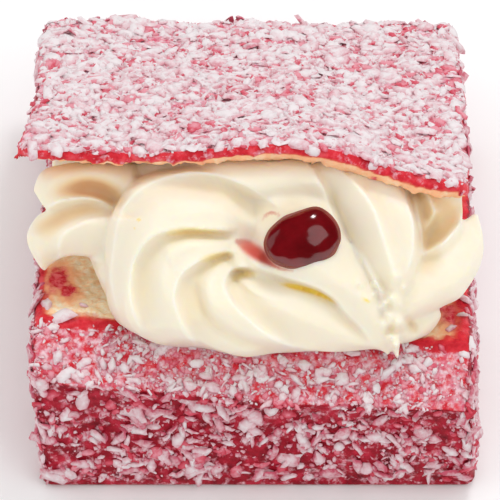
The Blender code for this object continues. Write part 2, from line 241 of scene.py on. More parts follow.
def under_ledge(spots, normals):
    """The shaded band of the front just below the ledge."""
    drop = ledge_line(spots)[0] - spots[:, 2]
    return smoothstep(*SHADE_STARTS, drop) * smoothstep(*SHADE_ENDS, drop) * (normals[:, 1] < -0.4)


def push_ledge(cake):
    """Lets the top edge of the front hang over the face below it, more in some places than in others."""
    spots, normals = points_of(cake), normals_of(cake)
    height, uneven = ledge_line(spots)
    band = np.exp(-((spots[:, 2] - height) / LEDGE_HEIGHT) ** 2) * smoothstep(-0.2, -0.8, normals[:, 1])
    below = smoothstep(0.0, -LEDGE_DROP, spots[:, 2] - height)
    below *= smoothstep(FOOT_FROM_Z, FOOT_TO_Z, spots[:, 2])
    below *= smoothstep(-0.5, -0.9, normals[:, 1])
    spots[:, 1] += EDGE_LEDGE * (below * (SET_BACK + uneven) - band * (STANDS_OUT + uneven))
    cake.data.vertices.foreach_set("co", spots.ravel())
    cake.data.update()


def lip_soak(spots, soak):
    """The soak of the lid's lip, where the coat hangs over the edge to a ragged line above the crumb."""
    share = smoothstep(LIP_COAT_LEFT_X, LIP_COAT_RIGHT_X, spots[:, 0])
    coat_edge = LIP_COAT_LEFT + (LIP_COAT_RIGHT - LIP_COAT_LEFT) * share
    coat_edge += np.array([sum(far * noise.noise(Vector(spot) * often) for far, often in LIP_COAT_WAVES)
                           for spot in spots])
    return np.maximum(soak - np.maximum(coat_edge, 0.0), 0.0) * LIP_SHARPNESS


def shape_cake():
    """The CAD sponge, remeshed finely, with the soak of its coating measured and its surfaces roughened."""
    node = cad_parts["sponge_cake"]
    deselect_all()
    cake = bpy.data.objects.new("coated_sponge", node.data.copy())
    bpy.context.scene.collection.objects.link(cake)
    cake.data.materials.clear()
    pick(cake)
    bpy.ops.object.mode_set(mode="EDIT")
    bpy.ops.mesh.select_all(action="SELECT")
    bpy.ops.mesh.remove_doubles(threshold=0.00001)
    bpy.ops.object.mode_set(mode="OBJECT")

    bm = bmesh.new()
    bm.from_mesh(cake.data)
    bm.normal_update()
    coated = [face for face in bm.faces if not is_cut_face(face)]
    cut = [face for face in bm.faces if is_cut_face(face)]
    outside = BVHTree.FromPolygons([v.co.copy() for v in bm.verts],
                                   [[v.index for v in face.verts] for face in coated])
    inside = BVHTree.FromPolygons([v.co.copy() for v in bm.verts],
                                  [[v.index for v in face.verts] for face in cut])
    bm.free()

    remesh = cake.modifiers.new("crumb", "REMESH")
    remesh.mode = "VOXEL"
    remesh.voxel_size = CRUMB_GRID
    remesh.use_smooth_shade = True
    apply_modifiers(cake)

    spots = points_of(cake)
    soak = np.array([outside.find_nearest(Vector(spot))[3] / MM for spot in spots])
    from_cut = np.array([inside.find_nearest(Vector(spot))[3] / MM for spot in spots])
    normals = normals_of(cake)
    lid, strip = region_masks(spots, normals)
    high = spots[:, 2] > LIP_LINE_Z
    on_lip = high & (normals[:, 1] < LIP_LEAN)
    dusting = np.where(lid, DUST_ON_LID, np.where(strip, DUST_ON_STRIP, DUST_ON_SIDES))
    dusting *= smoothstep(0.3, 2.2, from_cut)
    # Painted shade: the coat is drawn darker on the upright sides, lightest on the lid and along the lip, a
    # little darker on the strip.
    coat_shade = np.where(lid | high, COAT_SHADE_ON_LID, np.where(strip, COAT_SHADE_ON_STRIP, COAT_SHADE_ON_SIDES))
    write_attribute(cake, "soak", np.where(on_lip, lip_soak(spots, soak), soak))
    write_attribute(cake, "from_cut", from_cut)
    write_attribute(cake, "dusting", np.maximum(dusting, DUST_ON_LIP * on_lip))
    write_attribute(cake, "stain", syrup_stain(spots))
    write_attribute(cake, "coat_shade", coat_shade)
    is_cut = smoothstep(0.25, 0.7, soak)
    weigh(cake, "cut", is_cut)
    underside = smoothstep(0.0006, 0.0020, spots[:, 2])
    weigh(cake, "coat", (1 - is_cut) * underside)
    weigh(cake, "all", underside)

    push_ledge(cake)
    roughen(cake, clouds("wobble", 0.014, 1), 0.0017, "all", 0.72)
    roughen(cake, clouds("lumps", 0.0030, 2), 0.0007, "all")
    roughen(cake, clouds("grain", 0.0011, 1), 0.0004, "coat")
    roughen(cake, pores("open_crumb", 0.0016), -0.0009, "cut", 0.6)
    roughen(cake, clouds("torn_crumb", 0.0010, 2), 0.0006, "cut")
    apply_modifiers(cake)
    thin_out(cake)
    keep_above_ground(cake)
    return cake


def keep_above_ground(obj, lowest=0.0):
    spots = points_of(obj)
    spots[:, 2] = np.maximum(spots[:, 2], lowest)
    obj.data.vertices.foreach_set("co", spots.ravel())
    obj.data.update()


# ------------------------------------------------------------------ the coconut


DENSEST = 3.0  # flakes to the square millimetre
# Painted shade: flakes on the upright sides are drawn this much pinker and darker.
UPRIGHT_FLAKE_SHADE = 0.58
LID_FLAKE_SIZE = 1.50
LID_FLAKE_HEIGHT = 1.4
STEEPEST = 0.45
CALM_TILT = 0.6  # the flakes lie flatter on the lid, the sides and the back
UPRIGHT_FLAKE_SIZE = 1.50
STRIP_FLAKE_SIZE = 1.1
STRIP_TINT = 0.22
UPRIGHT_FLAKE_HEIGHT = 1.3
LONGEST_SHARE, SHORTEST_SHARE = 1.25, 0.8  # how far one flake is drawn out or in beside its kind
SMALLEST_FLAKE = 0.45
CREASE = math.radians(70)
LOWEST_FLAKE_Z = 0.0022
BACK_RIM_Z = 0.050
# Where the coconut lies thin: (u, v, radius) in millimetres, seen square to the piping.
THIN_SPOTS = [
    (-34.3, -25.6, 4.0), (-35.0, -32.0, 4.0), (-33.6, -38.3, 3.5), (-37.4, 39.4, 3.0), (-18.4, 39.9, 3.6),
    (-41.0, 20.0, 2.6), (-40.0, 28.0, 2.2), (36.0, 30.0, 2.5), (4.0, -33.0, 2.6), (-13.5, -29.5, 2.2),
    (17.0, -38.0, 2.4), (-31.0, -17.0, 3.0), (-37.0, -19.0, 3.0),
]
THIN_SHARE = 0.75
SHADED_SHARE = 0.40
BACK_RIM_SHARE = 0.10


def torn_flake(rng, points, width, thickness, curl, jag):
    """One torn flake of coconut, 1 long: a bent, jagged slab, its points and its triangles."""
    angles = np.linspace(0, 2 * math.pi, points, False) + rng.uniform(-0.7, 0.7, points) * math.pi / points
    reach = 1 + rng.uniform(-jag, jag, points)
    x = np.cos(angles) * reach / 2
    y = np.sin(angles) * reach * width / 2
    bend = curl * (x**2 - 0.12) + rng.uniform(-0.5, 0.5) * curl * x * y + rng.uniform(-0.03, 0.03, points)
    rim = np.column_stack([x, y, bend - thickness * 0.3])
    top = np.column_stack([x * 0.80, y * 0.76, bend + thickness / 2 * rng.uniform(0.5, 1.2, points)])
    peak = np.array([[rng.uniform(-0.15, 0.15), 0.0, thickness * 0.7 - curl * 0.12]])
    verts = np.vstack([rim, top, peak])
    faces = []
    for i in range(points):
        j = (i + 1) % points
        faces += [(i, j, points + j), (i, points + j, points + i), (points + i, points + j, 2 * points)]
    faces += [(0, k + 1, k) for k in range(1, points - 1)]
    rims = np.repeat((1.0, 0.45, 0.0), (points, points, 1))
    return verts, np.array(faces), rims


def coconut_bit(rng, points, width, height, jag):
    """A crumb of coconut, 1 long: a low jagged cone."""
    angles = np.linspace(0, 2 * math.pi, points, False) + rng.uniform(-0.5, 0.5, points) * math.pi / points
    reach = 1 + rng.uniform(-jag, jag, points)
    x = np.cos(angles) * reach / 2
    y = np.sin(angles) * reach * width / 2
    rim = np.column_stack([x, y, np.zeros(points)])
    peak = np.array([[rng.uniform(-0.2, 0.2), rng.uniform(-0.1, 0.1), height]])
    faces = [(i, (i + 1) % points, points) for i in range(points)]
    faces += [(0, k + 1, k) for k in range(1, points - 1)]
    return np.vstack([rim, peak]), np.array(faces), np.append(np.ones(points), 0.2)


def sample_surface(obj, rng, density):
    """Random spots on the coated surface, as many to the square millimetre as density says for each."""
    mesh = obj.data
    mesh.calc_loop_triangles()
    corners = np.empty(len(mesh.loop_triangles) * 3, dtype=np.int64)
    mesh.loop_triangles.foreach_get("vertices", corners)
    corners = corners.reshape(-1, 3)
    spots, normals = points_of(obj), normals_of(obj)
    from_coat, from_cut = read_attribute(obj, "soak"), read_attribute(obj, "from_cut")
    a, b, c = (spots[corners[:, i]] for i in range(3))
    area = np.linalg.norm(np.cross(b - a, c - a), axis=1) / 2
    count = int(area.sum() / MM**2 * DENSEST)
    chosen = rng.choice(len(area), size=count, p=area / area.sum())
    r1, r2 = np.sqrt(rng.random(count)), rng.random(count)
    share = np.column_stack([1 - r1, r1 * (1 - r2), r1 * r2])
    picked = corners[chosen]

    def blend(values):
        return sum(values[picked[:, i]] * (share[:, i:i + 1] if values.ndim > 1 else share[:, i])
                   for i in range(3))

    place, normal = blend(spots), blend(normals)
    normal /= np.linalg.norm(normal, axis=1)[:, None]
    wanted = density(place, normal, blend(from_coat), blend(from_cut))
    keep = rng.random(count) < wanted / DENSEST
    return place[keep], normal[keep]


def scatter(name, place, normal, rng, templates, size, tilt, sink, material, lengths=1.0):
    """Lays one flake at each spot, turned at random, all joined in one mesh with a tint for each flake."""
    count = len(place)
    lid, strip = region_masks(place, normal)
    kind = rng.integers(0, np.where(lid, (len(templates) + 1) // 2, len(templates)))
    length, spread, longest = size
    scale = np.clip(rng.lognormal(0.0, spread, count), SMALLEST_FLAKE, longest) * length * MM * lengths
    helper = np.where(np.abs(normal[:, 2:3]) > 0.8, np.array([[1.0, 0, 0]]), np.array([[0, 0, 1.0]]))
    side = np.cross(normal, helper)
    side /= np.linalg.norm(side, axis=1)[:, None]
    front = np.cross(normal, side)
    scale *= np.where(lid, LID_FLAKE_SIZE, np.where(strip, STRIP_FLAKE_SIZE, UPRIGHT_FLAKE_SIZE))
    height = np.where(lid, LID_FLAKE_HEIGHT, np.where(strip, 1.0, UPRIGHT_FLAKE_HEIGHT))
    spin = rng.uniform(0, 2 * math.pi, count)[:, None]
    x_axis = np.cos(spin) * side + np.sin(spin) * front
    tilt = tilt * np.where(~lid & (strip | (normal[:, 1] < -0.5)), 1.0, CALM_TILT)
    lean = np.clip(rng.normal(0, tilt), -STEEPEST, STEEPEST)[:, None]
    x_axis = np.cos(lean) * x_axis + np.sin(lean) * normal
    roll = np.clip(rng.normal(0, tilt * 1.2), -STEEPEST, STEEPEST)[:, None]
    y_axis = np.cross(normal, x_axis)
    y_axis /= np.linalg.norm(y_axis, axis=1)[:, None]
    z_axis = np.cross(x_axis, y_axis)
    y_axis, z_axis = (np.cos(roll) * y_axis + np.sin(roll) * z_axis,
                      np.cos(roll) * z_axis - np.sin(roll) * y_axis)
    stretch = rng.uniform(SHORTEST_SHARE, LONGEST_SHARE, (count, 2))
    base = place + normal * (rng.uniform(sink[0], sink[1], count) * np.where(lid, 0.5, 1.0) * MM)[:, None]
    # Painted shade: flakes on the upright sides get a darker, pinker tint.
    tint = rng.random(count) + UPRIGHT_FLAKE_SHADE * (normal[:, 2] < 0.5) + STRIP_TINT * strip
    all_points, all_faces, all_tints, all_rims, start = [], [], [], [], 0
    for k, (verts, faces, rims) in enumerate(templates):
        mine = np.nonzero(kind == k)[0]
        if not len(mine):
            continue
        local = verts[None, :, :] * scale[mine, None, None]
        local[:, :, 0] *= stretch[mine, 0:1]
        local[:, :, 1] *= stretch[mine, 1:2]
        local[:, :, 2] *= height[mine, None]
        points = (base[mine, None, :] + local[:, :, 0:1] * x_axis[mine, None, :]
                  + local[:, :, 1:2] * y_axis[mine, None, :] + local[:, :, 2:3] * z_axis[mine, None, :])
        all_points.append(points.reshape(-1, 3))
        offsets = start + np.arange(len(mine)) * len(verts)
        all_faces.append((faces[None, :, :] + offsets[:, None, None]).reshape(-1, 3))
        all_tints.append(np.repeat(tint[mine], len(verts)))
        all_rims.append(np.tile(rims, len(mine)))
        start += len(mine) * len(verts)
    points, faces = np.vstack(all_points), np.vstack(all_faces)
    points[:, 2] = np.maximum(points[:, 2], 0.0001)
    mesh = bpy.data.meshes.new(name)
    mesh.vertices.add(len(points))
    mesh.vertices.foreach_set("co", points.ravel())
    mesh.loops.add(len(faces) * 3)
    mesh.loops.foreach_set("vertex_index", faces.ravel())
    mesh.polygons.add(len(faces))
    mesh.polygons.foreach_set("loop_start", np.arange(len(faces)) * 3)
    mesh.polygons.foreach_set("loop_total", np.full(len(faces), 3))
    mesh.update(calc_edges=True)
    obj = bpy.data.objects.new(name, mesh)
    bpy.context.scene.collection.objects.link(obj)
    write_attribute(obj, "tint", np.concatenate(all_tints))
    write_attribute(obj, "rim", np.concatenate(all_rims))
    obj.data.materials.append(material)
    obj.data.shade_smooth()
    obj.data.set_sharp_from_angle(angle=CREASE)
    return obj


def region_masks(place, normal):
    lid = (normal[:, 2] > 0.6) & (normal[:, 1] > 0.15)
    strip = (normal[:, 2] > 0.6) & (place[:, 1] < -0.022) & (place[:, 2] < 0.034)
    return lid, strip


def patchiness(place):
    """Bare and crowded patches of coconut, from about 0.2 to 1.8."""
    values = [noise.noise(Vector(spot) * 130) + 0.6 * noise.noise(Vector(spot) * 320) for spot in place]
    return 0.2 + 1.6 * smoothstep(-0.45, 0.45, np.array(values))


def coconut_density(on_lid, on_strip, elsewhere):
    """Flakes to the square millimetre for the lid, the strip in front of the slit and the upright sides."""

    def density(place, normal, from_coat, from_cut):
        lid, strip = region_masks(place, normal)
        patches = patchiness(place)
        many = np.where(lid, on_lid * (0.7 + 0.3 * patches), np.where(strip, on_strip, elsewhere) * patches)
        # Painted shade: fewer pale flakes in the band just below the ledge, so that the dark coat shows
        # there.
        many = many * (1 - SHADED_SHARE * under_ledge(place, normal))
        outside = smoothstep(0.4, 0.0, from_coat)
        high = place[:, 2] > LIP_LINE_Z
        edge = np.where(high, smoothstep(0.8, 2.6, from_cut), smoothstep(0.4, 1.8, from_cut))
        above = (normal[:, 2] > -0.55) & (place[:, 2] > LOWEST_FLAKE_Z)
        back_rim = (normal[:, 1] > 0.3) & (place[:, 2] > BACK_RIM_Z) & ~lid
        above = np.where(back_rim, BACK_RIM_SHARE, 1.0) * above
        spots = piping_spots(place)
        for spot in THIN_SPOTS:
            many = many * (1 - THIN_SHARE * round_patch(spots, *spot))
        return many * outside * edge * above

    return density


def dust_with_coconut(cake, materials):
    rng = np.random.default_rng(4)
    white, soaked = materials
    broad = [torn_flake(rng, 11, rng.uniform(0.45, 0.8) * share, rng.uniform(0.10, 0.17),
                        rng.uniform(-0.25, 0.45), jag)
             for jag, share in (*[(0.16, 1.0)] * 10, *[(0.34, 0.78)] * 10)]
    slim = [torn_flake(rng, 9, rng.uniform(0.24, 0.42), rng.uniform(0.09, 0.14), rng.uniform(-0.3, 0.5), 0.26)
            for _ in range(14)]
    bits = [coconut_bit(rng, 5, rng.uniform(0.5, 0.95), rng.uniform(0.2, 0.5), 0.3) for _ in range(14)]
    # Each layer: flakes to the square millimetre on the lid, the strip and the sides; length in
    # millimetres, its spread and the most of it that a flake may have; tilt; how high the flakes lie,
    # in millimetres.
    layers = [
        ("soaked_coconut", broad, (0.26, 0.22, 0.14), (1.4, 0.30, 1.8), 0.16, (-0.15, 0.10), soaked),
        ("coconut_crumbs", bits, (0.80, 1.15, 0.65), (0.58, 0.38, 2.0), 0.35, (-0.1, 0.15), white),
        ("coconut_shreds", slim, (0.13, 0.10, 0.13), (2.2, 0.34, 1.8), 0.26, (0.0, 0.35), white),
        ("coconut_flakes", broad, (0.31, 0.10, 0.09), (1.8, 0.30, 1.8), 0.26, (0.05, 0.40), white),
    ]
    made = []
    for name, templates, many, size, tilt, sink, material in layers:
        place, normal = sample_surface(cake, rng, coconut_density(*many))
        flakes = scatter(name, place, normal, rng, templates, size, tilt, sink, material)
        print(name, len(place), "flakes", len(flakes.data.polygons), "faces")
        made.append(flakes)
    return made


# Single flakes that catch the eye: (u, v, length) in millimetres, seen square to the piping.
LOOSE_FLAKES = [
    (29.4, 13.0, 2.0), (33.0, 12.5, 3.3), (35.9, 11.0, 2.3), (21.8, 14.3, 1.9), (23.8, 14.8, 1.3),
    (-34.7, -13.4, 3.4), (-30.5, -11.4, 1.3), (-37.4, -11.4, 2.6), (-36.1, -15.3, 2.4), (-15.2, -18.4, 3.2),
    (-8.3, -23.8, 3.0), (-2.2, -24.4, 3.3), (36.8, 5.6, 1.2), (37.6, 9.0, 1.0), (12.4, -24.6, 2.6),
    (24.6, -23.2, 3.4), (31.6, -21.8, 3.0), (38.1, -8.5, 1.8), (39.0, -10.4, 2.2), (38.4, -13.2, 1.6),
    (36.2, -15.4, 1.5),
]
LOOSE_START = 60.0  # they fall from this far out, in millimetres


def lay_loose_flakes(cake, material):
    """Drops each loose flake straight onto the cake, along the view square to the piping."""
    rng = np.random.default_rng(21)
    templates = [torn_flake(rng, 11, rng.uniform(0.45, 0.7), 0.15, rng.uniform(-0.1, 0.35), 0.26)
                 for _ in range(6)]
    bm = bmesh.new()
    bm.from_mesh(cake.data)
    ground = BVHTree.FromBMesh(bm)
    bm.free()
    place, normal, length = [], [], []
    for u, v, size in LOOSE_FLAKES:
        spot, up, _, _ = ground.ray_cast(piping_point(u, v, LOOSE_START), -W_AXIS)
        if spot:
            place.append(spot)
            normal.append(up)
            length.append(size)
    place, normal = np.array(place), np.array(normal)
    one_size, tilt, sink = (1.0, 0.0, 1.0), 0.22, (0.15, 0.4)
    return scatter("loose_flakes", place, normal, rng, templates, one_size, tilt, sink, material,
                   np.array(length))


# ------------------------------------------------------------------ the piped cream

# Strokes of the piping bag, as (ribs, rib depth, stations). A station is the stroke's inner edge (u, v),
# its outer edge (u, v), the depth w of its middle, its half thickness and the turn of its ribs in degrees.
STROKES = {
    "swirl": (7, 0.06, [
        (1.8, -0.9, 7.2, 6.7, 20.0, 8.0, -12),
        (0.4, -3.1, 1.8, 10.6, 21.0, 8.6, -6),
        (-0.5, -3.2, -7.9, 14.6, 22.0, 9.6, -3),
        (-1.1, -3.4, -19.9, 12.8, 22.5, 10.6, 4),
        (-1.3, -3.8, -25.6, 6.5, 23.0, 11.2, 20),
        (-1.3, -4.2, -26.7, -4.9, 23.5, 11.6, 40),
        (-0.9, -4.5, -25.3, -13.9, 24.0, 11.6, 52),
        (-0.2, -4.5, -18.6, -18.1, 24.6, 11.2, 76),
        (0.5, -4.5, -10.5, -19.0, 25.2, 10.6, 103),
        (1.6, -4.5, -2.7, -20.8, 25.7, 10.0, 124),
        (5.1, -5.6, 5.2, -19.9, 26.2, 9.0, 145),
        (10.1, -6.9, 11.6, -19.9, 26.7, 7.6, 165),
        (15.7, -9.7, 17.7, -19.7, 27.2, 5.6, 185),
        (20.4, -14.3, 22.2, -19.1, 27.8, 3.4, 200),
        (23.1, -17.1, 24.2, -19.7, 28.2, 1.4, 210),
    ]),
    "bed": (5, 0.04, [
        (-2.5, 10.3, 8.7, 15.0, 18.0, 8.0, 60),
        (-2.2, 3.8, 14.1, 11.4, 21.5, 10.8, 62),
        (-0.4, -2.7, 16.8, 5.6, 23.8, 11.2, 66),
        (3.6, -7.2, 18.8, -0.4, 25.2, 10.6, 72),
        (12.6, -11.0, 21.7, -6.0, 26.6, 8.2, 76),
        (17.0, -13.7, 23.8, -10.3, 27.6, 5.8, 80),
        (21.5, -17.7, 25.1, -15.0, 28.4, 3.2, 82),
        (23.1, -18.6, 24.9, -17.9, 28.6, 1.4, 84),
    ]),
    "top_band": (3, 0.04, [
        (-28.3, 6.9, -28.7, 16.8, 12.0, 5.0, 30),
        (-22.0, 6.9, -22.0, 16.8, 14.0, 6.0, 30),
        (-15.7, 6.9, -15.7, 16.8, 16.5, 6.5, 30),
        (-8.5, 7.8, -9.4, 16.4, 20.0, 6.5, 30),
        (-2.2, 6.9, -2.9, 16.4, 22.5, 7.5, 30),
        (6.0, 5.1, 7.2, 16.4, 24.0, 8.0, 30),
        (14.1, 5.1, 16.8, 15.9, 23.5, 7.0, 30),
        (21.7, 5.1, 26.4, 15.0, 22.0, 6.0, 30),
        (28.5, 3.2, 33.9, 14.1, 18.5, 6.0, 30),
    ]),
    "heart": (3, 0.02, [
        (-6.7, -3.4, -4.3, 1.3, 23.0, 5.0, 0),
        (-3.2, -6.7, -1.1, 1.3, 24.0, 8.0, 0),
        (1.1, -8.1, 3.6, -0.2, 24.0, 8.0, 0),
        (5.1, -8.8, 7.2, -3.4, 24.0, 6.0, 0),
    ]),
    "bundle": (7, 0.06, [
        (7.9, 15.9, 27.4, 15.0, 21.0, 9.5, -4),
        (11.2, 11.4, 28.9, 9.6, 22.0, 10.6, -3),
        (14.4, 5.6, 30.7, 4.9, 23.6, 10.8, 0),
        (17.0, 0.2, 31.2, -0.4, 25.0, 10.0, 2),
        (19.5, -4.5, 30.3, -5.2, 26.2, 8.6, 4),
        (22.0, -8.5, 28.2, -9.6, 27.4, 6.4, 6),
        (23.8, -13.0, 27.1, -13.5, 28.4, 4.0, 6),
        (24.4, -16.4, 26.7, -16.8, 28.6, 2.2, 6),
    ]),
    "petal": (5, 0.06, [
        (40.4, 5.6, 41.3, 5.1, 19.0, 1.2, 40),
        (37.5, 3.6, 42.2, 0.5, 20.0, 4.2, 38),
        (33.9, 0.5, 41.5, -4.0, 21.5, 6.4, 34),
        (30.3, -2.2, 38.3, -9.4, 23.0, 8.0, 28),
        (27.6, -5.8, 33.6, -11.9, 24.6, 7.6, 22),
        (26.0, -9.4, 29.6, -13.7, 26.0, 5.6, 15),
        (24.9, -13.5, 27.1, -16.1, 27.4, 3.0, 10),
    ]),
    "long_prong": (3, 0.10, [
        (24.5, -14.3, 26.7, -14.3, 27.6, 1.6, 0),
        (24.9, -17.5, 26.7, -17.5, 28.2, 1.2, 0),
        (25.6, -20.0, 26.7, -19.9, 28.4, 0.9, 0),
        (26.0, -21.1, 26.5, -21.1, 28.4, 0.5, 0),
    ]),
    "short_prong": (3, 0.10, [
        (23.1, -15.7, 25.3, -15.7, 27.8, 1.4, 0),
        (23.8, -18.4, 25.1, -18.2, 28.0, 1.1, 0),
        (24.2, -20.2, 24.9, -20.0, 28.0, 0.6, 0),
    ]),
    "right_fold": (6, 0.05, [
        (26.4, 15.0, 38.6, 14.1, 18.5, 7.4, 0),
        (27.1, 9.6, 38.3, 9.6, 20.5, 7.8, 5),
        (28.2, 3.8, 38.3, 4.2, 22.0, 7.8, 10),
        (28.9, -1.3, 37.2, -2.2, 22.5, 7.0, 15),
        (28.5, -5.8, 33.9, -7.6, 22.5, 5.0, 15),
    ]),
    "lower_lobe": (3, 0.06, [
        (33.9, -11.7, 33.2, -15.3, 22.0, 2.0, 0),
        (31.8, -11.7, 31.4, -17.1, 23.0, 3.4, 0),
        (28.9, -12.5, 28.5, -18.1, 24.0, 3.8, 0),
        (26.4, -13.5, 26.0, -18.4, 25.0, 3.0, 0),
    ]),
    "left_curl": (5, 0.08, [
        (-21.7, -3.4, -22.0, 7.8, 15.5, 7.0, 10),
        (-26.0, -3.2, -26.4, 8.5, 17.5, 7.4, 10),
        (-30.0, -2.7, -31.0, 8.3, 18.6, 7.2, 9),
        (-32.9, -2.5, -35.6, 6.7, 19.0, 6.6, 4),
        (-35.4, -3.2, -39.4, 4.9, 18.6, 5.8, -6),
        (-37.0, -4.2, -41.2, 1.3, 17.8, 4.2, -16),
        (-37.5, -5.2, -39.7, -2.5, 16.8, 1.6, -20),
    ]),
    "left_tongue": (4, 0.06, [
        (-21.7, 6.3, -21.7, 15.0, 19.0, 4.4, 20),
        (-28.9, 6.7, -28.9, 15.0, 20.5, 4.8, 20),
        (-34.3, 6.1, -34.7, 14.4, 21.0, 4.6, 20),
        (-37.4, 6.3, -37.9, 13.2, 20.6, 3.4, 20),
        (-38.8, 8.1, -39.4, 11.0, 20.0, 1.2, 20),
    ]),
    "left_drip": (3, 0.06, [
        (-30.0, -1.6, -21.1, -0.4, 18.0, 4.8, 0),
        (-28.7, -5.2, -21.1, -4.5, 19.0, 5.0, 0),
        (-27.3, -8.5, -21.1, -8.5, 19.0, 4.6, 0),
        (-26.2, -10.8, -22.4, -11.4, 17.5, 2.4, 0),
    ]),
}

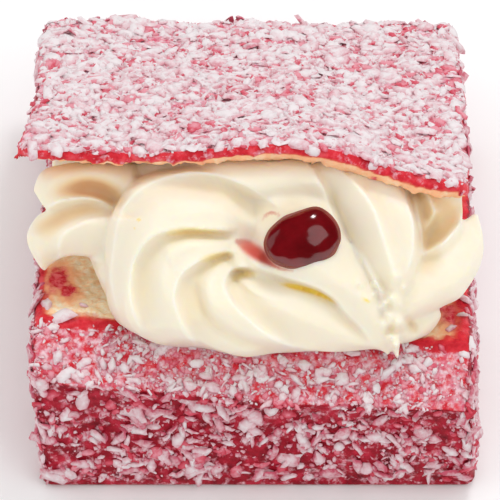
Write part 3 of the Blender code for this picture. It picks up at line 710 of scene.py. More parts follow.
# Crests drawn along the front: (u, v, lift, depth of the valley on their left, how far off it lies).
CRESTS = {
    "outer_crest": [
        (5.6, 6.1, 0.0, 0.0, 2.6), (2.2, 8.3, 1.1, 0.8, 2.6), (-0.7, 10.1, 1.5, 1.4, 2.6),
        (-3.6, 11.4, 1.5, 1.5, 2.6), (-7.0, 12.5, 1.3, 1.5, 2.6), (-10.6, 12.8, 1.1, 1.2, 2.6),
        (-15.0, 12.1, 0.9, 0.8, 2.6), (-18.6, 10.6, 0.7, 0.4, 2.6), (-21.5, 8.5, 0.7, 0.3, 2.6),
        (-23.6, 5.6, 0.7, 0.3, 2.6), (-24.7, 1.4, 0.7, 0.3, 2.6), (-25.3, -3.1, 0.7, 0.3, 2.6),
        (-25.5, -6.7, 0.7, 0.3, 2.6), (-24.5, -11.4, 0.4, 0.2, 2.6), (-23.6, -13.5, 0.0, 0.0, 2.6),
    ],
    "second_crest": [
        (-2.5, 2.7, 0.0, 0.0, 0.9), (-4.9, 2.5, 1.1, 2.0, 0.8), (-7.9, 2.5, 1.3, 2.4, 0.8),
        (-11.2, 2.7, 1.3, 2.2, 0.9), (-13.7, 2.5, 1.3, 1.7, 1.2), (-16.4, 2.0, 1.3, 1.2, 1.8),
        (-18.6, 0.7, 1.3, 1.2, 2.6), (-20.2, -1.3, 1.3, 1.2, 2.6), (-21.3, -3.6, 1.3, 1.2, 2.6),
        (-21.8, -6.3, 1.3, 1.2, 2.6), (-21.8, -9.2, 1.3, 1.2, 2.6), (-21.3, -12.1, 1.1, 1.0, 2.6),
        (-20.4, -14.4, 0.7, 0.6, 2.6), (-19.3, -16.4, 0.0, 0.0, 2.6),
    ],
    "third_crest": [
        (-2.9, -1.8, 0.0, 0.0, 0.8), (-4.7, -1.4, 1.1, 2.1, 0.8), (-6.9, -2.0, 1.3, 2.2, 0.9),
        (-8.5, -2.7, 1.3, 1.7, 1.2), (-10.6, -3.8, 1.3, 1.4, 1.8), (-12.5, -5.4, 1.3, 1.2, 2.4),
        (-13.5, -7.4, 1.3, 1.2, 2.4), (-13.9, -9.6, 1.3, 1.2, 2.4), (-13.5, -11.7, 1.3, 1.2, 2.4),
        (-12.8, -13.9, 1.3, 1.0, 2.4), (-11.7, -16.1, 1.1, 0.8, 2.4), (-10.3, -17.9, 0.9, 0.6, 2.4),
        (-8.1, -19.7, 0.4, 0.3, 2.4), (-6.1, -20.6, 0.0, 0.0, 2.4),
    ],
    "fourth_crest": [
        (1.3, -5.1, 0.0, 0.0, 0.8), (-0.4, -4.3, 0.9, 1.8, 0.8), (-2.2, -4.2, 1.3, 2.4, 0.8),
        (-3.4, -4.5, 1.3, 1.8, 1.0), (-4.3, -5.4, 1.3, 1.4, 1.5), (-4.9, -7.0, 1.3, 1.2, 2.2),
        (-4.3, -9.2, 1.3, 1.0, 2.2), (-2.9, -11.4, 1.3, 1.0, 2.2), (-0.7, -13.5, 1.3, 0.9, 2.2),
        (1.8, -15.7, 1.3, 0.8, 2.2), (4.7, -17.5, 1.3, 0.6, 2.2), (8.3, -19.0, 1.1, 0.4, 2.2),
        (11.7, -19.9, 0.4, 0.3, 2.2), (15.9, -20.2, 0.0, 0.0, 2.2),
    ],
    "bed_edge": [
        (23.1, -19.3, 0.0, 0.0, 0.9), (20.0, -15.3, 0.7, 0.3, 0.9), (17.1, -12.6, 0.9, 0.4, 0.9),
        (15.0, -10.1, 0.9, 0.8, 0.9), (12.3, -8.1, 0.9, 1.2, 0.9), (9.2, -6.9, 0.9, 1.2, 0.9),
        (6.5, -6.1, 0.9, 0.9, 0.9), (3.6, -5.2, 0.9, 0.6, 0.9), (1.1, -4.0, 0.9, 0.4, 0.9),
        (-0.9, -2.3, 0.7, 0.3, 0.9), (-2.5, -0.4, 0.0, 0.0, 0.9),
    ],
    "bundle_first": [
        (10.8, 13.5, 0.4, 0.6, 1.0), (12.6, 10.3, 0.9, 1.0, 1.0), (13.9, 7.2, 0.9, 0.9, 1.0),
        (15.2, 4.2, 0.9, 0.8, 1.0), (16.2, 1.6, 0.9, 0.6, 1.0), (18.2, -0.7, 0.9, 0.6, 1.0),
        (20.0, -3.1, 0.9, 0.4, 1.0), (21.3, -5.4, 0.9, 0.4, 1.0), (22.7, -7.8, 1.3, 0.9, 1.0),
        (23.8, -11.2, 0.7, 0.3, 1.0), (24.5, -13.2, 0.0, 0.0, 1.0),
    ],
    "bundle_second": [
        (17.7, 11.7, 0.4, 0.6, 2.0), (19.1, 10.1, 0.7, 0.8, 2.0), (20.8, 8.1, 0.9, 0.8, 2.0),
        (22.0, 6.0, 0.9, 0.8, 2.0), (22.9, 3.2, 0.9, 0.8, 2.0), (23.8, 0.4, 0.9, 0.8, 2.0),
        (24.5, -2.0, 0.9, 0.6, 2.0), (25.3, -4.2, 0.7, 0.4, 2.0), (25.8, -6.1, 0.0, 0.0, 2.0),
    ],
    "bundle_third": [
        (27.4, 9.6, 1.1, 2.4, 1.6), (28.2, 6.5, 1.3, 2.4, 1.6), (28.9, 4.0, 1.3, 2.0, 1.6),
        (29.1, 1.3, 1.3, 1.2, 1.6), (28.9, -1.4, 1.1, 0.9, 1.6), (28.3, -3.8, 0.9, 0.6, 1.6),
        (27.4, -5.8, 0.0, 0.0, 1.6),
    ],
    "bundle_fourth": [
        (29.6, 7.8, 0.7, 1.5, 1.8), (30.1, 4.9, 1.3, 2.2, 1.8), (30.7, 1.6, 1.3, 1.8, 1.8),
        (30.7, -0.9, 1.1, 1.2, 1.8), (30.1, -3.4, 0.9, 0.6, 1.8), (29.1, -5.2, 0.0, 0.0, 1.8),
    ],
    "bundle_fifth": [
        (31.6, 9.2, 0.9, 1.2, 1.6), (32.7, 6.7, 1.1, 1.5, 1.6), (32.9, 5.4, 1.1, 1.5, 1.6),
        (31.9, 3.4, 0.9, 0.9, 1.6), (30.9, 1.6, 0.0, 0.0, 1.6),
    ],
    "petal_crest": [
        (30.3, -2.3, 0.0, 0.0, 2.0), (32.7, -0.9, 1.1, 1.7, 2.0), (34.8, 0.5, 1.3, 2.0, 2.0),
        (36.6, 2.5, 1.3, 2.0, 2.0), (38.3, 4.5, 1.1, 1.4, 2.0), (39.7, 5.1, 0.0, 0.0, 2.0),
    ],
    "curl_crest": [
        (-37.4, 6.3, 0.7, 0.2, 1.7), (-35.2, 7.6, 1.1, 0.6, 1.7), (-33.2, 8.1, 1.3, 1.5, 1.7),
        (-30.3, 8.3, 1.3, 2.7, 1.7), (-27.8, 7.8, 1.1, 3.0, 1.7), (-25.6, 6.7, 0.4, 2.4, 1.7),
        (-24.2, 5.6, 0.0, 0.0, 1.7),
    ],
    "curl_ridge": [
        (-35.0, -0.7, 0.7, 0.4, 2.2), (-34.7, 0.9, 0.9, 0.8, 2.2), (-33.6, 2.2, 0.9, 0.9, 2.2),
        (-31.8, 3.2, 0.9, 0.9, 2.2), (-29.6, 4.3, 0.9, 0.9, 2.2), (-27.4, 4.7, 0.9, 0.8, 2.2),
        (-24.9, 4.7, 0.7, 0.4, 2.2),
    ],
    "curl_lip": [
        (-26.5, -3.1, 0.0, 0.0, 1.6), (-28.3, -3.1, 0.4, 0.8, 1.6), (-29.8, -2.9, 0.7, 1.2, 1.6),
        (-31.6, -2.5, 0.7, 1.5, 1.6), (-33.2, -2.2, 0.7, 1.5, 1.6), (-34.7, -2.5, 0.7, 1.2, 1.6),
        (-36.1, -3.2, 0.4, 0.6, 1.6), (-37.0, -4.3, 0.0, 0.0, 1.6),
    ],
}

# Soft swells and grooves: their half width, then (u, v, height).
SWELLS = {
    "first_shoulder": (2.2, [
        (1.8, 5.4, 0.0), (-2.2, 6.5, 0.4), (-7.8, 7.8, 0.9), (-13.2, 8.1, 0.9), (-16.8, 6.5, 0.8),
        (-19.0, 3.6, 0.6), (-20.2, 0.5, 0.3), (-20.9, -3.4, 0.0),
    ]),
    "second_shoulder": (1.6, [
        (-4.3, 0.2, 0.0), (-8.5, 0.2, 0.8), (-11.6, -0.2, 0.9), (-14.1, -1.3, 0.9), (-15.7, -3.4, 0.9),
        (-16.1, -6.7, 0.9), (-15.5, -10.3, 0.6), (-14.4, -13.5, 0.0),
    ]),
    "third_shoulder": (1.4, [
        (-3.6, -3.8, 0.0), (-5.8, -4.5, 0.6), (-7.4, -6.0, 0.9), (-7.9, -8.5, 0.9), (-7.0, -11.4, 0.8),
        (-4.7, -14.4, 0.6), (-1.6, -16.8, 0.3), (1.8, -18.2, 0.0),
    ]),
    "second_groove": (1.2, [
        (-10.1, -6.7, 0.0), (-9.6, -9.2, -0.8), (-8.1, -12.5, -1.2), (-4.3, -15.9, -1.4),
        (0.2, -18.1, -1.4), (4.9, -19.0, -0.8), (8.7, -19.7, 0.0),
    ]),
    "crevice": (0.4, [
        (5.1, -7.2, 0.0), (6.9, -7.6, -0.9), (9.2, -8.1, -1.4), (11.7, -8.8, -1.4), (13.9, -9.9, -1.2),
        (15.5, -11.0, 0.0),
    ]),
    "tail_hollow": (0.9, [
        (27.3, -12.5, 0.0), (28.3, -14.1, -1.5), (29.2, -15.3, -1.2), (30.3, -16.4, 0.0),
    ]),
    "petal_groove": (0.9, [
        (30.3, -4.5, 0.0), (32.5, -2.9, -0.4), (34.8, -1.3, -0.6), (36.6, 0.4, -0.6), (37.9, 2.3, -0.4),
        (38.6, 3.8, 0.0),
    ]),
    "bed_hollow": (3.2, [
        (0.5, 3.2, 0.0), (5.1, 5.1, -0.9), (8.7, 6.9, -0.9), (11.4, 8.7, -0.6), (12.3, 10.5, 0.0),
    ]),
    "shade_slot": (1.2, [
        (11.9, -11.7, 0.0), (15.0, -12.8, -0.4), (17.7, -14.3, -0.8), (19.9, -16.1, -0.4),
        (21.7, -17.9, 0.0),
    ]),
    "curl_shade": (1.6, [
        (-39.5, 1.3, 0.0), (-38.3, 3.1, -0.8), (-35.6, 4.5, -0.9), (-31.9, 6.1, -0.9), (-28.3, 6.3, -0.8),
        (-25.3, 5.8, 0.0),
    ]),
}

# The filling behind the strokes: (u, share of the slit's depth where it starts) from left to right.
CORE_FRONT = [
    (-37.0, 0.46), (-24.0, 0.40), (-14.0, 0.16), (0.0, 0.12), (20.0, 0.16), (30.0, 0.26), (37.0, 0.34),
]
CORE_BACK = 0.93
CORE_STEPS = 15
ROPE_STEPS = 90
POINTS_PER_RIB = 14

# Thin smears of jam beside the drop: (u, v, half width, strength).
SMEARS = [
    [(-2.6, 0.4, 0.5, 0.6), (-1.2, -0.3, 1.2, 0.9), (0.3, -1.3, 1.4, 1.0), (1.8, -2.3, 1.2, 1.0),
     (3.4, -3.6, 0.5, 0.9), (5.2, -4.5, 0.3, 0.7), (7.4, -4.9, 0.2, 0.3)],
    [(1.8, 4.2, 0.2, 0.0), (2.5, 5.1, 0.25, 0.5), (3.7, 5.6, 0.25, 0.6), (4.9, 5.1, 0.2, 0.4)],
]
# Painted yellow shade: the crack under the bed, the deep folds of the swirl and two small holes, as
# (u, v, half width, strength).
CREVICE_SHADE_LINES = [
    [(4.7, -7.1, 0.2, 0.0), (6.9, -7.6, 0.45, 0.9), (9.2, -8.1, 0.5, 1.0), (11.7, -8.9, 0.45, 1.0),
     (13.7, -9.9, 0.3, 0.9), (15.3, -11.0, 0.2, 0.0)],
    [(19.6, -9.6, 0.1, 0.0), (20.6, -10.2, 0.3, 0.8), (21.4, -10.6, 0.1, 0.0)],
    [(-15.8, 1.4, 0.4, 0.0), (-14.2, 2.0, 0.6, 0.35), (-11.2, 2.3, 0.7, 0.45), (-6.9, 2.2, 0.5, 0.3),
     (-4.0, 1.9, 0.3, 0.0)],
    [(-9.6, -3.4, 0.4, 0.0), (-8.2, -2.7, 0.6, 0.4), (-6.2, -2.1, 0.6, 0.45), (-3.6, -1.8, 0.4, 0.2)],
    [(-3.8, -6.8, 0.4, 0.0), (-2.6, -6.0, 0.5, 0.35), (-0.6, -5.6, 0.5, 0.3), (1.4, -5.7, 0.4, 0.0)],
    [(-20.5, 4.3, 0.22, 0.8), (-20.2, 4.3, 0.22, 0.8)],
    [(-21.3, 2.8, 0.15, 0.6), (-21.1, 2.8, 0.15, 0.6)],
]

CREAM_GRID, QUICK_CREAM_GRID = 0.00037, 0.0008  # mesh of the cream, in metres
CREAM_PRESS = 0.0006  # the cream is pressed this far into the open crumb
RELIEF = 1.12
# In millimetres: how far off a crest is felt at most, how fast it fades outside and inside, the width of its
# painted highlight line.
CREST_REACH = 9.0
OUTER_EASE = 2.4
INNER_EASE = 0.35
CREST_LINE = 0.32
# The outer curls get painted tan shade in their folds from here on, fully at the left and a little at the
# right.
OUTER_FROM, OUTER_TO = 21.0, 28.0
OUTER_LEFT, OUTER_RIGHT = 1.0, 0.2
# The torn tail: lumps of random size and height about a line.
TAIL_LUMPS = 90
TAIL_FROM = np.array((23.5, -7.0))
TAIL_TO = np.array((26.5, -20.0))
TAIL_SPREAD = 2.2
TAIL_LUMP_SIZE = (0.40, 1.0)
TAIL_LUMP_HEIGHT = (-0.9, 1.4)


def piping_point(u, v, w):
    return PIPING_ORIGIN + (u * U_AXIS + v * V_AXIS + w * W_AXIS) * MM


def smooth_path(points, count):
    """Samples of a smooth curve through points of any dimension."""
    points = np.array(points, float)
    ends = [2 * points[0] - points[1], *points, 2 * points[-1] - points[-2]]
    samples = []
    for step in np.linspace(0, len(points) - 1, count):
        k = min(int(step), len(points) - 2)
        t = step - k
        a, b, c, d = ends[k:k + 4]
        point = 0.5 * (2 * b + (c - a) * t + (2 * a - 5 * b + 4 * c - d) * t**2
                       + (3 * b - a - 3 * c + d) * t**3)
        samples.append(point.tolist())
    return samples


def star_radius(angle, ribs, depth):
    """Share of the rope's radius: sharp crests with wide round valleys between them."""
    return 1 - depth * abs(math.sin(ribs * angle / 2)) ** 0.8


def pipe_stroke(bm, ribs, depth, stations):
    """Adds one ribbed stroke of cream, laid between its inner and outer edges, with rounded ends."""
    count = ribs * POINTS_PER_RIB
    rings, centres = [], []
    for u1, v1, u2, v2, w, thick, turn in smooth_path(stations, ROPE_STEPS):
        inner, outer = piping_point(u1, v1, w), piping_point(u2, v2, w)
        centre, side = (inner + outer) / 2, (outer - inner) / 2
        ring = []
        for k in range(count):
            angle = 2 * math.pi * k / count
            reach = star_radius(angle - math.radians(turn), ribs, depth)
            offset = math.sin(angle) * side + math.cos(angle) * thick * MM * W_AXIS
            ring.append(bm.verts.new(centre + reach * offset))
        rings.append(ring)
        centres.append((centre, 0.6 * side.length))
    for lower, upper in zip(rings, rings[1:]):
        for k in range(count):
            j = (k + 1) % count
            bm.faces.new((lower[k], lower[j], upper[j], upper[k]))
    for ring, end, before in ((rings[0], 0, 1), (rings[-1], -1, -2)):
        away = (centres[end][0] - centres[before][0]).normalized()
        tip = bm.verts.new(centres[end][0] + away * centres[end][1])
        for k in range(count):
            bm.faces.new((ring[k], ring[(k + 1) % count], tip))


def along_line(rows, spots, steps=70):
    """Each spot's distance to a line, positive on its left, and the line's other values nearest to it."""
    path = np.array(smooth_path(rows, steps))
    best = np.full(len(spots), 1e9)
    distance = np.zeros(len(spots))
    values = np.zeros((len(spots), path.shape[1] - 2))
    for start, end in zip(path[:-1], path[1:]):
        step = end[:2] - start[:2]
        offset = spots - start[:2]
        share = np.clip(offset @ step / max(step @ step, 1e-9), 0, 1)
        gap = np.hypot(*(offset - share[:, None] * step).T)
        nearer = gap < best
        left = step[0] * offset[:, 1] - step[1] * offset[:, 0]
        best[nearer] = gap[nearer]
        distance[nearer] = (np.sign(left) * gap)[nearer]
        values[nearer] = (start[2:] + share[:, None] * (end[2:] - start[2:]))[nearer]
    return distance, values.T


def near_line(rows, spots, reach):
    """Picks the spots within reach of a line's bounds."""
    line = np.array([row[:2] for row in rows])
    low, high = line.min(axis=0) - reach, line.max(axis=0) + reach
    return np.nonzero(np.all((spots > low) & (spots < high), axis=1))[0]


def crest_rise(cream):
    """How far the nozzle draws out each point of the front, in millimetres, and how strongly a crest's
    painted highlight line lies on it.
    """
    place = points_of(cream)
    facing = normals_of(cream) @ np.array(W_AXIS)
    spots = piping_spots(place)
    rise, crest_highlight = np.zeros(len(place)), np.zeros(len(place))
    for rows in CRESTS.values():
        near = near_line(rows, spots, CREST_REACH)
        distance, (lift, valley, far) = along_line(rows, spots[near])
        inside = np.maximum(distance, 0.0) / far
        ease = np.where(distance < 0, OUTER_EASE, INNER_EASE)
        dip = inside * np.exp((1 - inside**2) / 2)
        # Painted highlight: a thin line along each crest.
        line = np.minimum(lift, 1.0) * np.exp(-np.abs(distance) / CREST_LINE)
        crest_highlight[near] = np.maximum(crest_highlight[near], line)
        rise[near] += lift * np.exp(-np.abs(distance) / ease) - valley * dip
    for width, rows in SWELLS.values():
        near = near_line(rows, spots, CREST_REACH)
        distance, (height,) = along_line(rows, spots[near])
        rise[near] += height * np.exp(-(distance / width) ** 2)
    rng = np.random.default_rng(12)
    for share in rng.random(TAIL_LUMPS):
        middle = TAIL_FROM + (TAIL_TO - TAIL_FROM) * share + rng.normal(0, TAIL_SPREAD * (1.1 - share), 2)
        size, height = rng.uniform(*TAIL_LUMP_SIZE), rng.uniform(*TAIL_LUMP_HEIGHT)
        rise += height * np.exp(-np.sum((spots - middle) ** 2, axis=1) / size**2)
    return rise * smoothstep(0.0, 0.35, facing), crest_highlight


def painted(cream, lines):
    """How strongly a set of drawn lines tints each point of the cream, from 0 to 1."""
    spots = piping_spots(points_of(cream))
    tint = np.zeros(len(spots))
    for rows in lines:
        near = near_line(rows, spots, CREST_REACH)
        distance, (width, strength) = along_line(rows, spots[near])
        tint[near] = np.maximum(tint[near], strength * np.exp(-(distance / width) ** 4))
    return tint


def draw_crests(cream):
    place = points_of(cream) + RELIEF * crest_rise(cream)[0][:, None] * np.array(W_AXIS) * MM
    cream.data.vertices.foreach_set("co", place.ravel())
    cream.data.update()


def slit_point(u, share, side):
    """A point of the opened slit: side 0 lies on the base's cut face, side 1 on the lid's."""
    across = u * MM / (CAKE_WIDTH / 2)
    slit = -CAKE_DEPTH / 2 + STRIP_DEPTH - SLIT_SKEW * across
    y = slit + (CAKE_DEPTH / 2 - HINGE_INSET - slit) * share
    z = CAKE_HEIGHT + (HINGE_INSET - CAKE_HEIGHT) * share - LIP_THICKNESS * side * (1 - share)
    z += CREAM_PRESS * (2 * side - 1)
    if side == 0:
        return Vector((u * MM, y, z))
    hinge_y, hinge_z = CAKE_DEPTH / 2 - HINGE_INSET, HINGE_INSET
    dy, dz = y - hinge_y, z - hinge_z
    cosine, sine = math.cos(OPENING), math.sin(OPENING)
    return Vector((u * MM, hinge_y + dy * cosine + dz * sine, hinge_z - dy * sine + dz * cosine))


def pipe_core(bm):
    """Adds the wedge of cream inside the slit."""
    rings = []
    for u, start in smooth_path(CORE_FRONT, CORE_STEPS):
        corners = ((start, 0), (CORE_BACK, 0), (CORE_BACK, 1), (start, 1))
        rings.append([bm.verts.new(slit_point(u, share, side)) for share, side in corners])
    for left, right in zip(rings, rings[1:]):
        for i in range(4):
            j = (i + 1) % 4
            bm.faces.new((left[i], left[j], right[j], right[i]))
    bm.faces.new(rings[0])
    bm.faces.new(rings[-1])


def fuse_cream(cream, rounds):
    """Makes one even skin of the cream and eases it."""
    fuse = cream.modifiers.new("fuse", "REMESH")
    fuse.mode = "VOXEL"
    fuse.voxel_size = CREAM_GRID
    ease = cream.modifiers.new("ease", "SMOOTH")
    ease.factor = 0.5
    ease.iterations = rounds
    apply_modifiers(cream)


def pipe_cream(material):
    """All the strokes and the wedge behind them, fused into one body of cream."""
    bm = bmesh.new()
    pipe_core(bm)
    for ribs, depth, stations in STROKES.values():
        pipe_stroke(bm, ribs, depth, stations)
    bmesh.ops.recalc_face_normals(bm, faces=bm.faces)
    mesh = bpy.data.meshes.new("whipped_cream")
    bm.to_mesh(mesh)
    bm.free()
    cream = bpy.data.objects.new("whipped_cream", mesh)
    bpy.context.scene.collection.objects.link(cream)
    fuse_cream(cream, 6)
    roughen(cream, clouds("whip", 0.0060, 1), 0.0006)
    apply_modifiers(cream)
    draw_crests(cream)
    fuse_cream(cream, 1)
    thin_out(cream)
    rise, crest_highlight = crest_rise(cream)
    # The fold depth sets the painted shade of the valleys, and the crest lines set the painted highlight.
    write_attribute(cream, "fold", rise)
    write_attribute(cream, "crest_highlight", crest_highlight)
    write_attribute(cream, "jam_film", painted(cream, SMEARS))
    # Painted yellow shade in the deep crevices and small holes.
    write_attribute(cream, "crevice_shade", painted(cream, CREVICE_SHADE_LINES))
    # Painted tan shade in the folds of the outer curls.
    across = piping_spots(points_of(cream))[:, 0]
    outer = smoothstep(OUTER_FROM, OUTER_TO, np.abs(across)) * np.where(across > 0, OUTER_RIGHT, OUTER_LEFT)
    write_attribute(cream, "outer", outer)
    cream.data.materials.clear()
    cream.data.materials.append(material)
    cream.data.shade_smooth()
    return cream


# ------------------------------------------------------------------ the jam

JAM_CENTRE = (8.85, 0.9, 34.2)
JAM_HEIGHT = 6.8
# How far the drop reaches from its middle, in millimetres, every thirty degrees from the right by the top.
JAM_REACH = [7.2, 6.9, 6.5, 5.2, 5.0, 5.5, 6.7, 6.9, 6.0, 5.4, 5.5, 6.4]
JAM_RIM = (0.89, 1.0)


def drop_jam(material):
    deselect_all()
    bpy.ops.mesh.primitive_uv_sphere_add(segments=72, ring_count=44, radius=1.0)
    jam = bpy.context.object
    jam.name = "raspberry_jam"
    outline = [spot[0] for spot in smooth_path([(reach,) for reach in (*JAM_REACH, JAM_REACH[0])], 361)]
    rim = []
    for vert in jam.data.vertices:
        x, y, z = vert.co
        rim.append(math.hypot(x, y))
        reach = outline[int(math.degrees(math.atan2(y, x))) % 360]
        vert.co = piping_point(JAM_CENTRE[0] + x * reach, JAM_CENTRE[1] + y * reach,
                               JAM_CENTRE[2] + z * JAM_HEIGHT / 2)
    write_attribute(jam, "rim", smoothstep(*JAM_RIM, np.array(rim)))
    ease = jam.modifiers.new("ease", "SMOOTH")
    ease.iterations = 4
    roughen(jam, clouds("jam_lumps", 0.0045, 1), 0.0006)
    apply_modifiers(jam)
    jam.data.materials.clear()
    jam.data.materials.append(material)
    jam.data.shade_smooth()
    return jam


# ------------------------------------------------------------------ finishes

SPECKLE_INPUTS = ("Scale", "Detail", "Roughness")
BUMP_INPUTS = ("Strength", "Distance")


def shared_group(name, inputs, output, output_kind):
    """An empty node group with number inputs and one output; returns it with its ends."""
    group = bpy.data.node_groups.new(name, "ShaderNodeTree")
    for socket in inputs:
        group.interface.new_socket(name=socket, in_out="INPUT", socket_type="NodeSocketFloat")
    group.interface.new_socket(name=output, in_out="OUTPUT", socket_type=output_kind)
    return group, group.nodes.new("NodeGroupInput"), group.nodes.new("NodeGroupOutput")


def speckle_group():
    """Cloudy specks fixed to the object, from 0 to 1."""
    group, given, result = shared_group("speckle", SPECKLE_INPUTS, "Value", "NodeSocketFloat")
    place = group.nodes.new("ShaderNodeTexCoord")
    specks = group.nodes.new("ShaderNodeTexNoise")
    group.links.new(place.outputs["Object"], specks.inputs["Vector"])
    for socket in SPECKLE_INPUTS:
        group.links.new(given.outputs[socket], specks.inputs[socket])
    group.links.new(specks.outputs["Fac"], result.inputs["Value"])


def grain_group():
    """A fine grain in the surface, built on the specks."""
    inputs = (*SPECKLE_INPUTS, *BUMP_INPUTS)
    group, given, result = shared_group("grain", inputs, "Normal", "NodeSocketVector")
    specks = group.nodes.new("ShaderNodeGroup")
    specks.node_tree = bpy.data.node_groups["speckle"]
    bump = group.nodes.new("ShaderNodeBump")
    for socket in SPECKLE_INPUTS:
        group.links.new(given.outputs[socket], specks.inputs[socket])
    for socket in BUMP_INPUTS:
        group.links.new(given.outputs[socket], bump.inputs[socket])
    group.links.new(specks.outputs["Value"], bump.inputs["Height"])
    group.links.new(bump.outputs["Normal"], result.inputs["Normal"])


class Finish:
    """A material with its shader at hand, and short calls for its nodes."""

    def __init__(self, name):
        self.material = bpy.data.materials.new(name)
        self.material.use_nodes = True
        self.tree = self.material.node_tree
        self.shader = self.tree.nodes["Principled BSDF"]

    def node(self, kind, settings=None, **inputs):
        node = self.tree.nodes.new(kind)
        for key, value in (settings or {}).items():
            setattr(node, key, value)
        for key, value in inputs.items():
            socket = node.inputs[int(key[1:])] if key[0] == "i" and key[1:].isdigit() else node.inputs[key]
            self.feed(socket, value)
        return node

    def feed(self, socket, value):
        if isinstance(value, bpy.types.NodeSocket):
            self.tree.links.new(value, socket)
        else:
            socket.default_value = value

    def set(self, **values):
        for key, value in values.items():
            self.feed(self.shader.inputs[key.replace("_", " ")], value)

    def shared(self, name, **inputs):
        return self.node("ShaderNodeGroup", {"node_tree": bpy.data.node_groups[name]}, **inputs)

    def attribute(self, name):
        return self.node("ShaderNodeAttribute", {"attribute_name": name}).outputs["Fac"]

    def noise(self, scale, detail=2.0, roughness=0.5):
        return self.shared("speckle", Scale=scale, Detail=detail, Roughness=roughness).outputs["Value"]

    def ramp(self, factor, stops):
        node = self.node("ShaderNodeValToRGB", Fac=factor)
        band = node.color_ramp
        while len(band.elements) < len(stops):
            band.elements.new(0.5)
        for element, (position, colour) in zip(band.elements, stops):
            element.position = position
            element.color = (*colour, 1.0)
        return node.outputs["Color"]

    def mix(self, factor, first, second, mode="MIX"):
        node = self.node("ShaderNodeMix", {"data_type": "RGBA", "blend_type": mode})
        for socket, value in ((node.inputs[0], factor), (node.inputs[6], first), (node.inputs[7], second)):
            self.feed(socket, (*value, 1.0) if isinstance(value, tuple) else value)
        return node.outputs[2]

    def sum(self, operation, first, second, third=0.0, clamp=False):
        node = self.node("ShaderNodeMath", {"operation": operation, "use_clamp": clamp})
        for socket, value in zip(node.inputs, (first, second, third)):
            self.feed(socket, value)
        return node.outputs[0]

    def grain(self, scale, detail, roughness, strength, distance):
        return self.shared("grain", Scale=scale, Detail=detail, Roughness=roughness, Strength=strength,
                           Distance=distance).outputs["Normal"]


def linear(red, green, blue):
    """Linear colour of an sRGB colour given from 0 to 255."""
    shares = [value / 255 for value in (red, green, blue)]
    return tuple(((c + 0.055) / 1.055) ** 2.4 if c > 0.04045 else c / 12.92 for c in shares)


def sponge_finish():
    """Raspberry coat, pale where fine coconut clings and drawn darker on the upright sides as painted shade;
    at a cut it fades through orange into tan crumb.
    """
    f = Finish("raspberry_sponge")
    ragged = f.sum("MULTIPLY_ADD", f.noise(120, 4), 5.0, f.sum("MULTIPLY_ADD", f.noise(420, 3), 2.0, -3.5))
    inner = f.sum("MULTIPLY", f.attribute("soak"), 0.7, clamp=True)
    share = f.sum("DIVIDE", f.sum("MULTIPLY_ADD", ragged, inner, f.attribute("soak")), 6.0, clamp=True)
    # Painted shade: a lighter coat for the lid and a darker coat for the upright sides, mixed by the
    # coat_shade weight.
    bright = f.ramp(f.noise(420, 4, 0.6), [(0.30, linear(198, 20, 38)), (0.50, linear(226, 44, 58)),
                                          (0.68, linear(238, 88, 98))])
    deep = f.ramp(f.noise(380, 4, 0.6), [(0.30, linear(112, 2, 22)), (0.50, linear(158, 8, 34)),
                                        (0.68, linear(194, 38, 62))])
    coat = f.mix(f.attribute("coat_shade"), bright, deep)
    dust = f.sum("ADD", f.noise(560, 5, 0.65), f.sum("MULTIPLY_ADD", f.attribute("dusting"), 0.60, -0.34))
    dusted = f.mix(f.ramp(dust, [(0.46, (0, 0, 0)), (0.62, (1, 1, 1))]), coat,
                   f.ramp(f.noise(900, 4), [(0.34, linear(214, 92, 116)), (0.62, linear(236, 200, 208))]))
    crumb = f.ramp(f.noise(900, 4, 0.6), [(0.32, linear(255, 208, 158)), (0.50, linear(255, 230, 192)),
                                          (0.70, linear(255, 247, 228))])
    soaked = f.sum("MULTIPLY_ADD", f.noise(330, 4, 0.6), 0.9, f.sum("ADD", f.attribute("stain"), -0.50))
    crumb = f.mix(f.ramp(soaked, [(0.10, (0, 0, 0)), (0.42, (1, 1, 1))]), crumb, linear(255, 190, 144))
    syrupy = f.ramp(f.noise(760, 5, 0.65), [(0.40, linear(214, 30, 50)), (0.60, linear(238, 112, 120))])
    crumb = f.mix(f.ramp(soaked, [(0.50, (0, 0, 0)), (0.80, (1, 1, 1))]), crumb, syrupy)
    stained = f.mix(f.ramp(share, [(0.16, (0, 0, 0)), (0.36, (1, 1, 1))]), linear(222, 92, 72), crumb)
    colour = f.mix(f.ramp(share, [(0.06, (0, 0, 0)), (0.22, (1, 1, 1))]), dusted, stained)
    rough = f.node("ShaderNodeMapRange", Value=share, i3=0.5, i4=0.9).outputs[0]
    f.set(Base_Color=colour, Roughness=rough, Subsurface_Weight=0.15, Subsurface_Scale=0.002,
          Specular_IOR_Level=0.2, Normal=f.grain(1500, 5, 0.7, 0.5, 0.0004))
    return f.material


def coconut_finish(name, pale, middle, pink, wet):
    """Coconut flesh, each flake a little different, pinker where it has drawn up syrup; flakes on the upright
    sides are drawn darker pink as painted shade.
    """
    f = Finish(name)
    mottle = f.sum("MULTIPLY_ADD", f.noise(900, 4, 0.6), 1.1, -0.60)
    edged = f.sum("MULTIPLY_ADD", f.attribute("rim"), 0.50, mottle)
    tint = f.sum("MULTIPLY_ADD", f.attribute("tint"), 0.45, edged)
    colour = f.ramp(tint, [(0.24, pale), (0.58, middle), (1.0, pink)])
    f.set(Base_Color=colour, Roughness=0.55, Specular_IOR_Level=wet,
          Normal=f.grain(1800, 4, 0.6, 0.35, 0.0003))
    return f.material


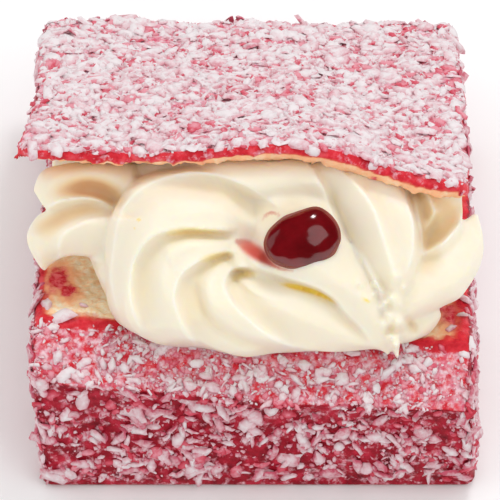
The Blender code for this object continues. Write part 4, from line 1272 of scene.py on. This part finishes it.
def cream_finish():
    """Whipped cream with a painted highlight along the crests and painted shade, tan or yellow, where it lies
    deep in a fold.
    """
    f = Finish("whipped_cream")
    # Painted shade: darker, yellower cream deep in the folds, tan in the folds of the outer curls.
    depth = f.sum("MULTIPLY_ADD", f.attribute("fold"), 0.25, 0.5)
    fold_shaded = f.ramp(depth, [(0.02, linear(240, 218, 170)), (0.22, linear(243, 229, 200)),
                          (0.45, linear(243, 234, 215)), (0.68, linear(244, 237, 220))])
    outer_fold_shaded = f.ramp(depth, [(0.02, linear(224, 172, 118)), (0.22, linear(240, 210, 164)),
                         (0.42, linear(243, 234, 213)), (0.68, linear(244, 237, 220))])
    folded = f.mix(f.sum("MULTIPLY", f.noise(110, 3), 0.5), f.mix(f.attribute("outer"), fold_shaded, outer_fold_shaded),
                   linear(241, 231, 205))
    # Painted highlight: whiter along the crests.
    crest_lit = f.mix(f.sum("MULTIPLY", f.attribute("crest_highlight"), 0.55, clamp=True), folded, linear(250, 246, 236))
    # Painted yellow shade in the deep crevices and small holes.
    crevice_shaded = f.mix(f.attribute("crevice_shade"), crest_lit, linear(252, 218, 84))
    colour = f.mix(f.attribute("jam_film"), crevice_shaded, linear(206, 84, 70))
    f.set(Base_Color=colour, Roughness=0.45, Subsurface_Weight=0.6, Subsurface_Scale=0.0024,
          Subsurface_Radius=(1.0, 0.75, 0.35), Specular_IOR_Level=0.35,
          Normal=f.grain(700, 3, 0.5, 0.12, 0.0004))
    return f.material


def jam_finish():
    """Dark wet jam, browner and paler where it thins out at its rim."""
    f = Finish("raspberry_jam")
    deep = f.ramp(f.noise(260, 3), [(0.35, linear(96, 0, 6)), (0.7, linear(118, 2, 12))])
    patchy = f.sum("MULTIPLY_ADD", f.noise(420, 3), 1.6, -0.1)
    thin = f.sum("MULTIPLY", f.attribute("rim"), patchy, clamp=True)
    gloss = f.node("ShaderNodeMapRange", Value=f.attribute("rim"), i3=0.13, i4=0.55).outputs[0]
    f.set(Base_Color=f.mix(thin, deep, linear(150, 44, 34)), Roughness=gloss, Specular_IOR_Level=0.85,
          Subsurface_Weight=0.15, Subsurface_Scale=0.002, Subsurface_Radius=(1.0, 0.1, 0.1))
    return f.material


# ------------------------------------------------------------------ the studio


def area_light(name, place, size, power, target=(0.0, 0.0, 0.025)):
    light = bpy.data.lights.new(name, "AREA")
    light.shape = "RECTANGLE"
    light.size, light.size_y = size
    light.energy = power
    lamp = bpy.data.objects.new(name, light)
    lamp.location = place
    lamp.rotation_euler = (Vector(target) - Vector(place)).to_track_quat("-Z", "Y").to_euler()
    bpy.context.scene.collection.objects.link(lamp)


def build_studio():
    deselect_all()
    bpy.ops.mesh.primitive_plane_add(size=3.0, location=(0, 0, 0))
    floor = bpy.context.object
    floor.name = "floor"
    f = Finish("floor_paper")
    f.set(Base_Color=(0.93, 0.93, 0.93, 1.0), Roughness=0.9)
    floor.data.materials.append(f.material)
    world = bpy.data.worlds.new("studio")
    bpy.context.scene.world = world
    world.use_nodes = True
    nodes, links = world.node_tree.nodes, world.node_tree.links
    background = nodes["Background"]
    background.inputs["Color"].default_value = (1.0, 1.0, 1.0, 1.0)
    path = nodes.new("ShaderNodeLightPath")
    strength = nodes.new("ShaderNodeMapRange")
    strength.inputs["To Min"].default_value = 0.91
    strength.inputs["To Max"].default_value = 0.03  # darker walls in the gloss of the jam
    links.new(path.outputs["Is Glossy Ray"], strength.inputs["Value"])
    links.new(strength.outputs["Result"], background.inputs["Strength"])
    area_light("overhead", (0.18, 0.28, 0.68), (0.16, 0.16), 1.3)
    area_light("window", (0.436, -0.390, 0.641), (0.38, 0.38), 0.55)
    area_light("left_wall", (-0.75, -0.10, 0.34), (0.50, 0.50), 0.5)


CAMERA_TARGET = Vector((0.0, 0.0, 0.020))
CAMERA_TILT = math.radians(52.2)
CAMERA_DISTANCE = 1.096
FRAME_WIDTH = 0.0926  # width of the view at the target
FRAME_SHIFT = (-0.004, -0.014)


def place_camera():
    lens = bpy.data.cameras.new("camera")
    camera = bpy.data.objects.new("camera", lens)
    bpy.context.scene.collection.objects.link(camera)
    away = Vector((0.0, -math.cos(CAMERA_TILT), math.sin(CAMERA_TILT)))
    camera.location = CAMERA_TARGET + away * CAMERA_DISTANCE
    camera.rotation_euler = (math.pi / 2 - CAMERA_TILT, 0.0, 0.0)
    lens.lens = lens.sensor_width * CAMERA_DISTANCE / FRAME_WIDTH
    lens.shift_x, lens.shift_y = FRAME_SHIFT
    bpy.context.scene.camera = camera


def main():
    bpy.context.scene.view_settings.view_transform = "Standard"
    speckle_group()
    grain_group()
    place_camera()
    build_studio()
    cake = shape_cake()
    cake.data.materials.append(sponge_finish())
    white = coconut_finish("coconut", linear(230, 221, 223), linear(224, 190, 196),
                           linear(198, 84, 106), 0.25)
    soaked = coconut_finish("soaked_coconut", linear(226, 150, 162), linear(214, 88, 106),
                            linear(194, 38, 60), 0.3)
    flakes = dust_with_coconut(cake, (white, soaked))
    flakes.append(lay_loose_flakes(cake, white))
    cream = pipe_cream(cream_finish())
    jam = drop_jam(jam_finish())
    for piece in (cake, *flakes, cream, jam):
        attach(piece, "root")
    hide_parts("sponge_cake")
    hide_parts("piped_cream")
    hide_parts("jam_drop")


main()
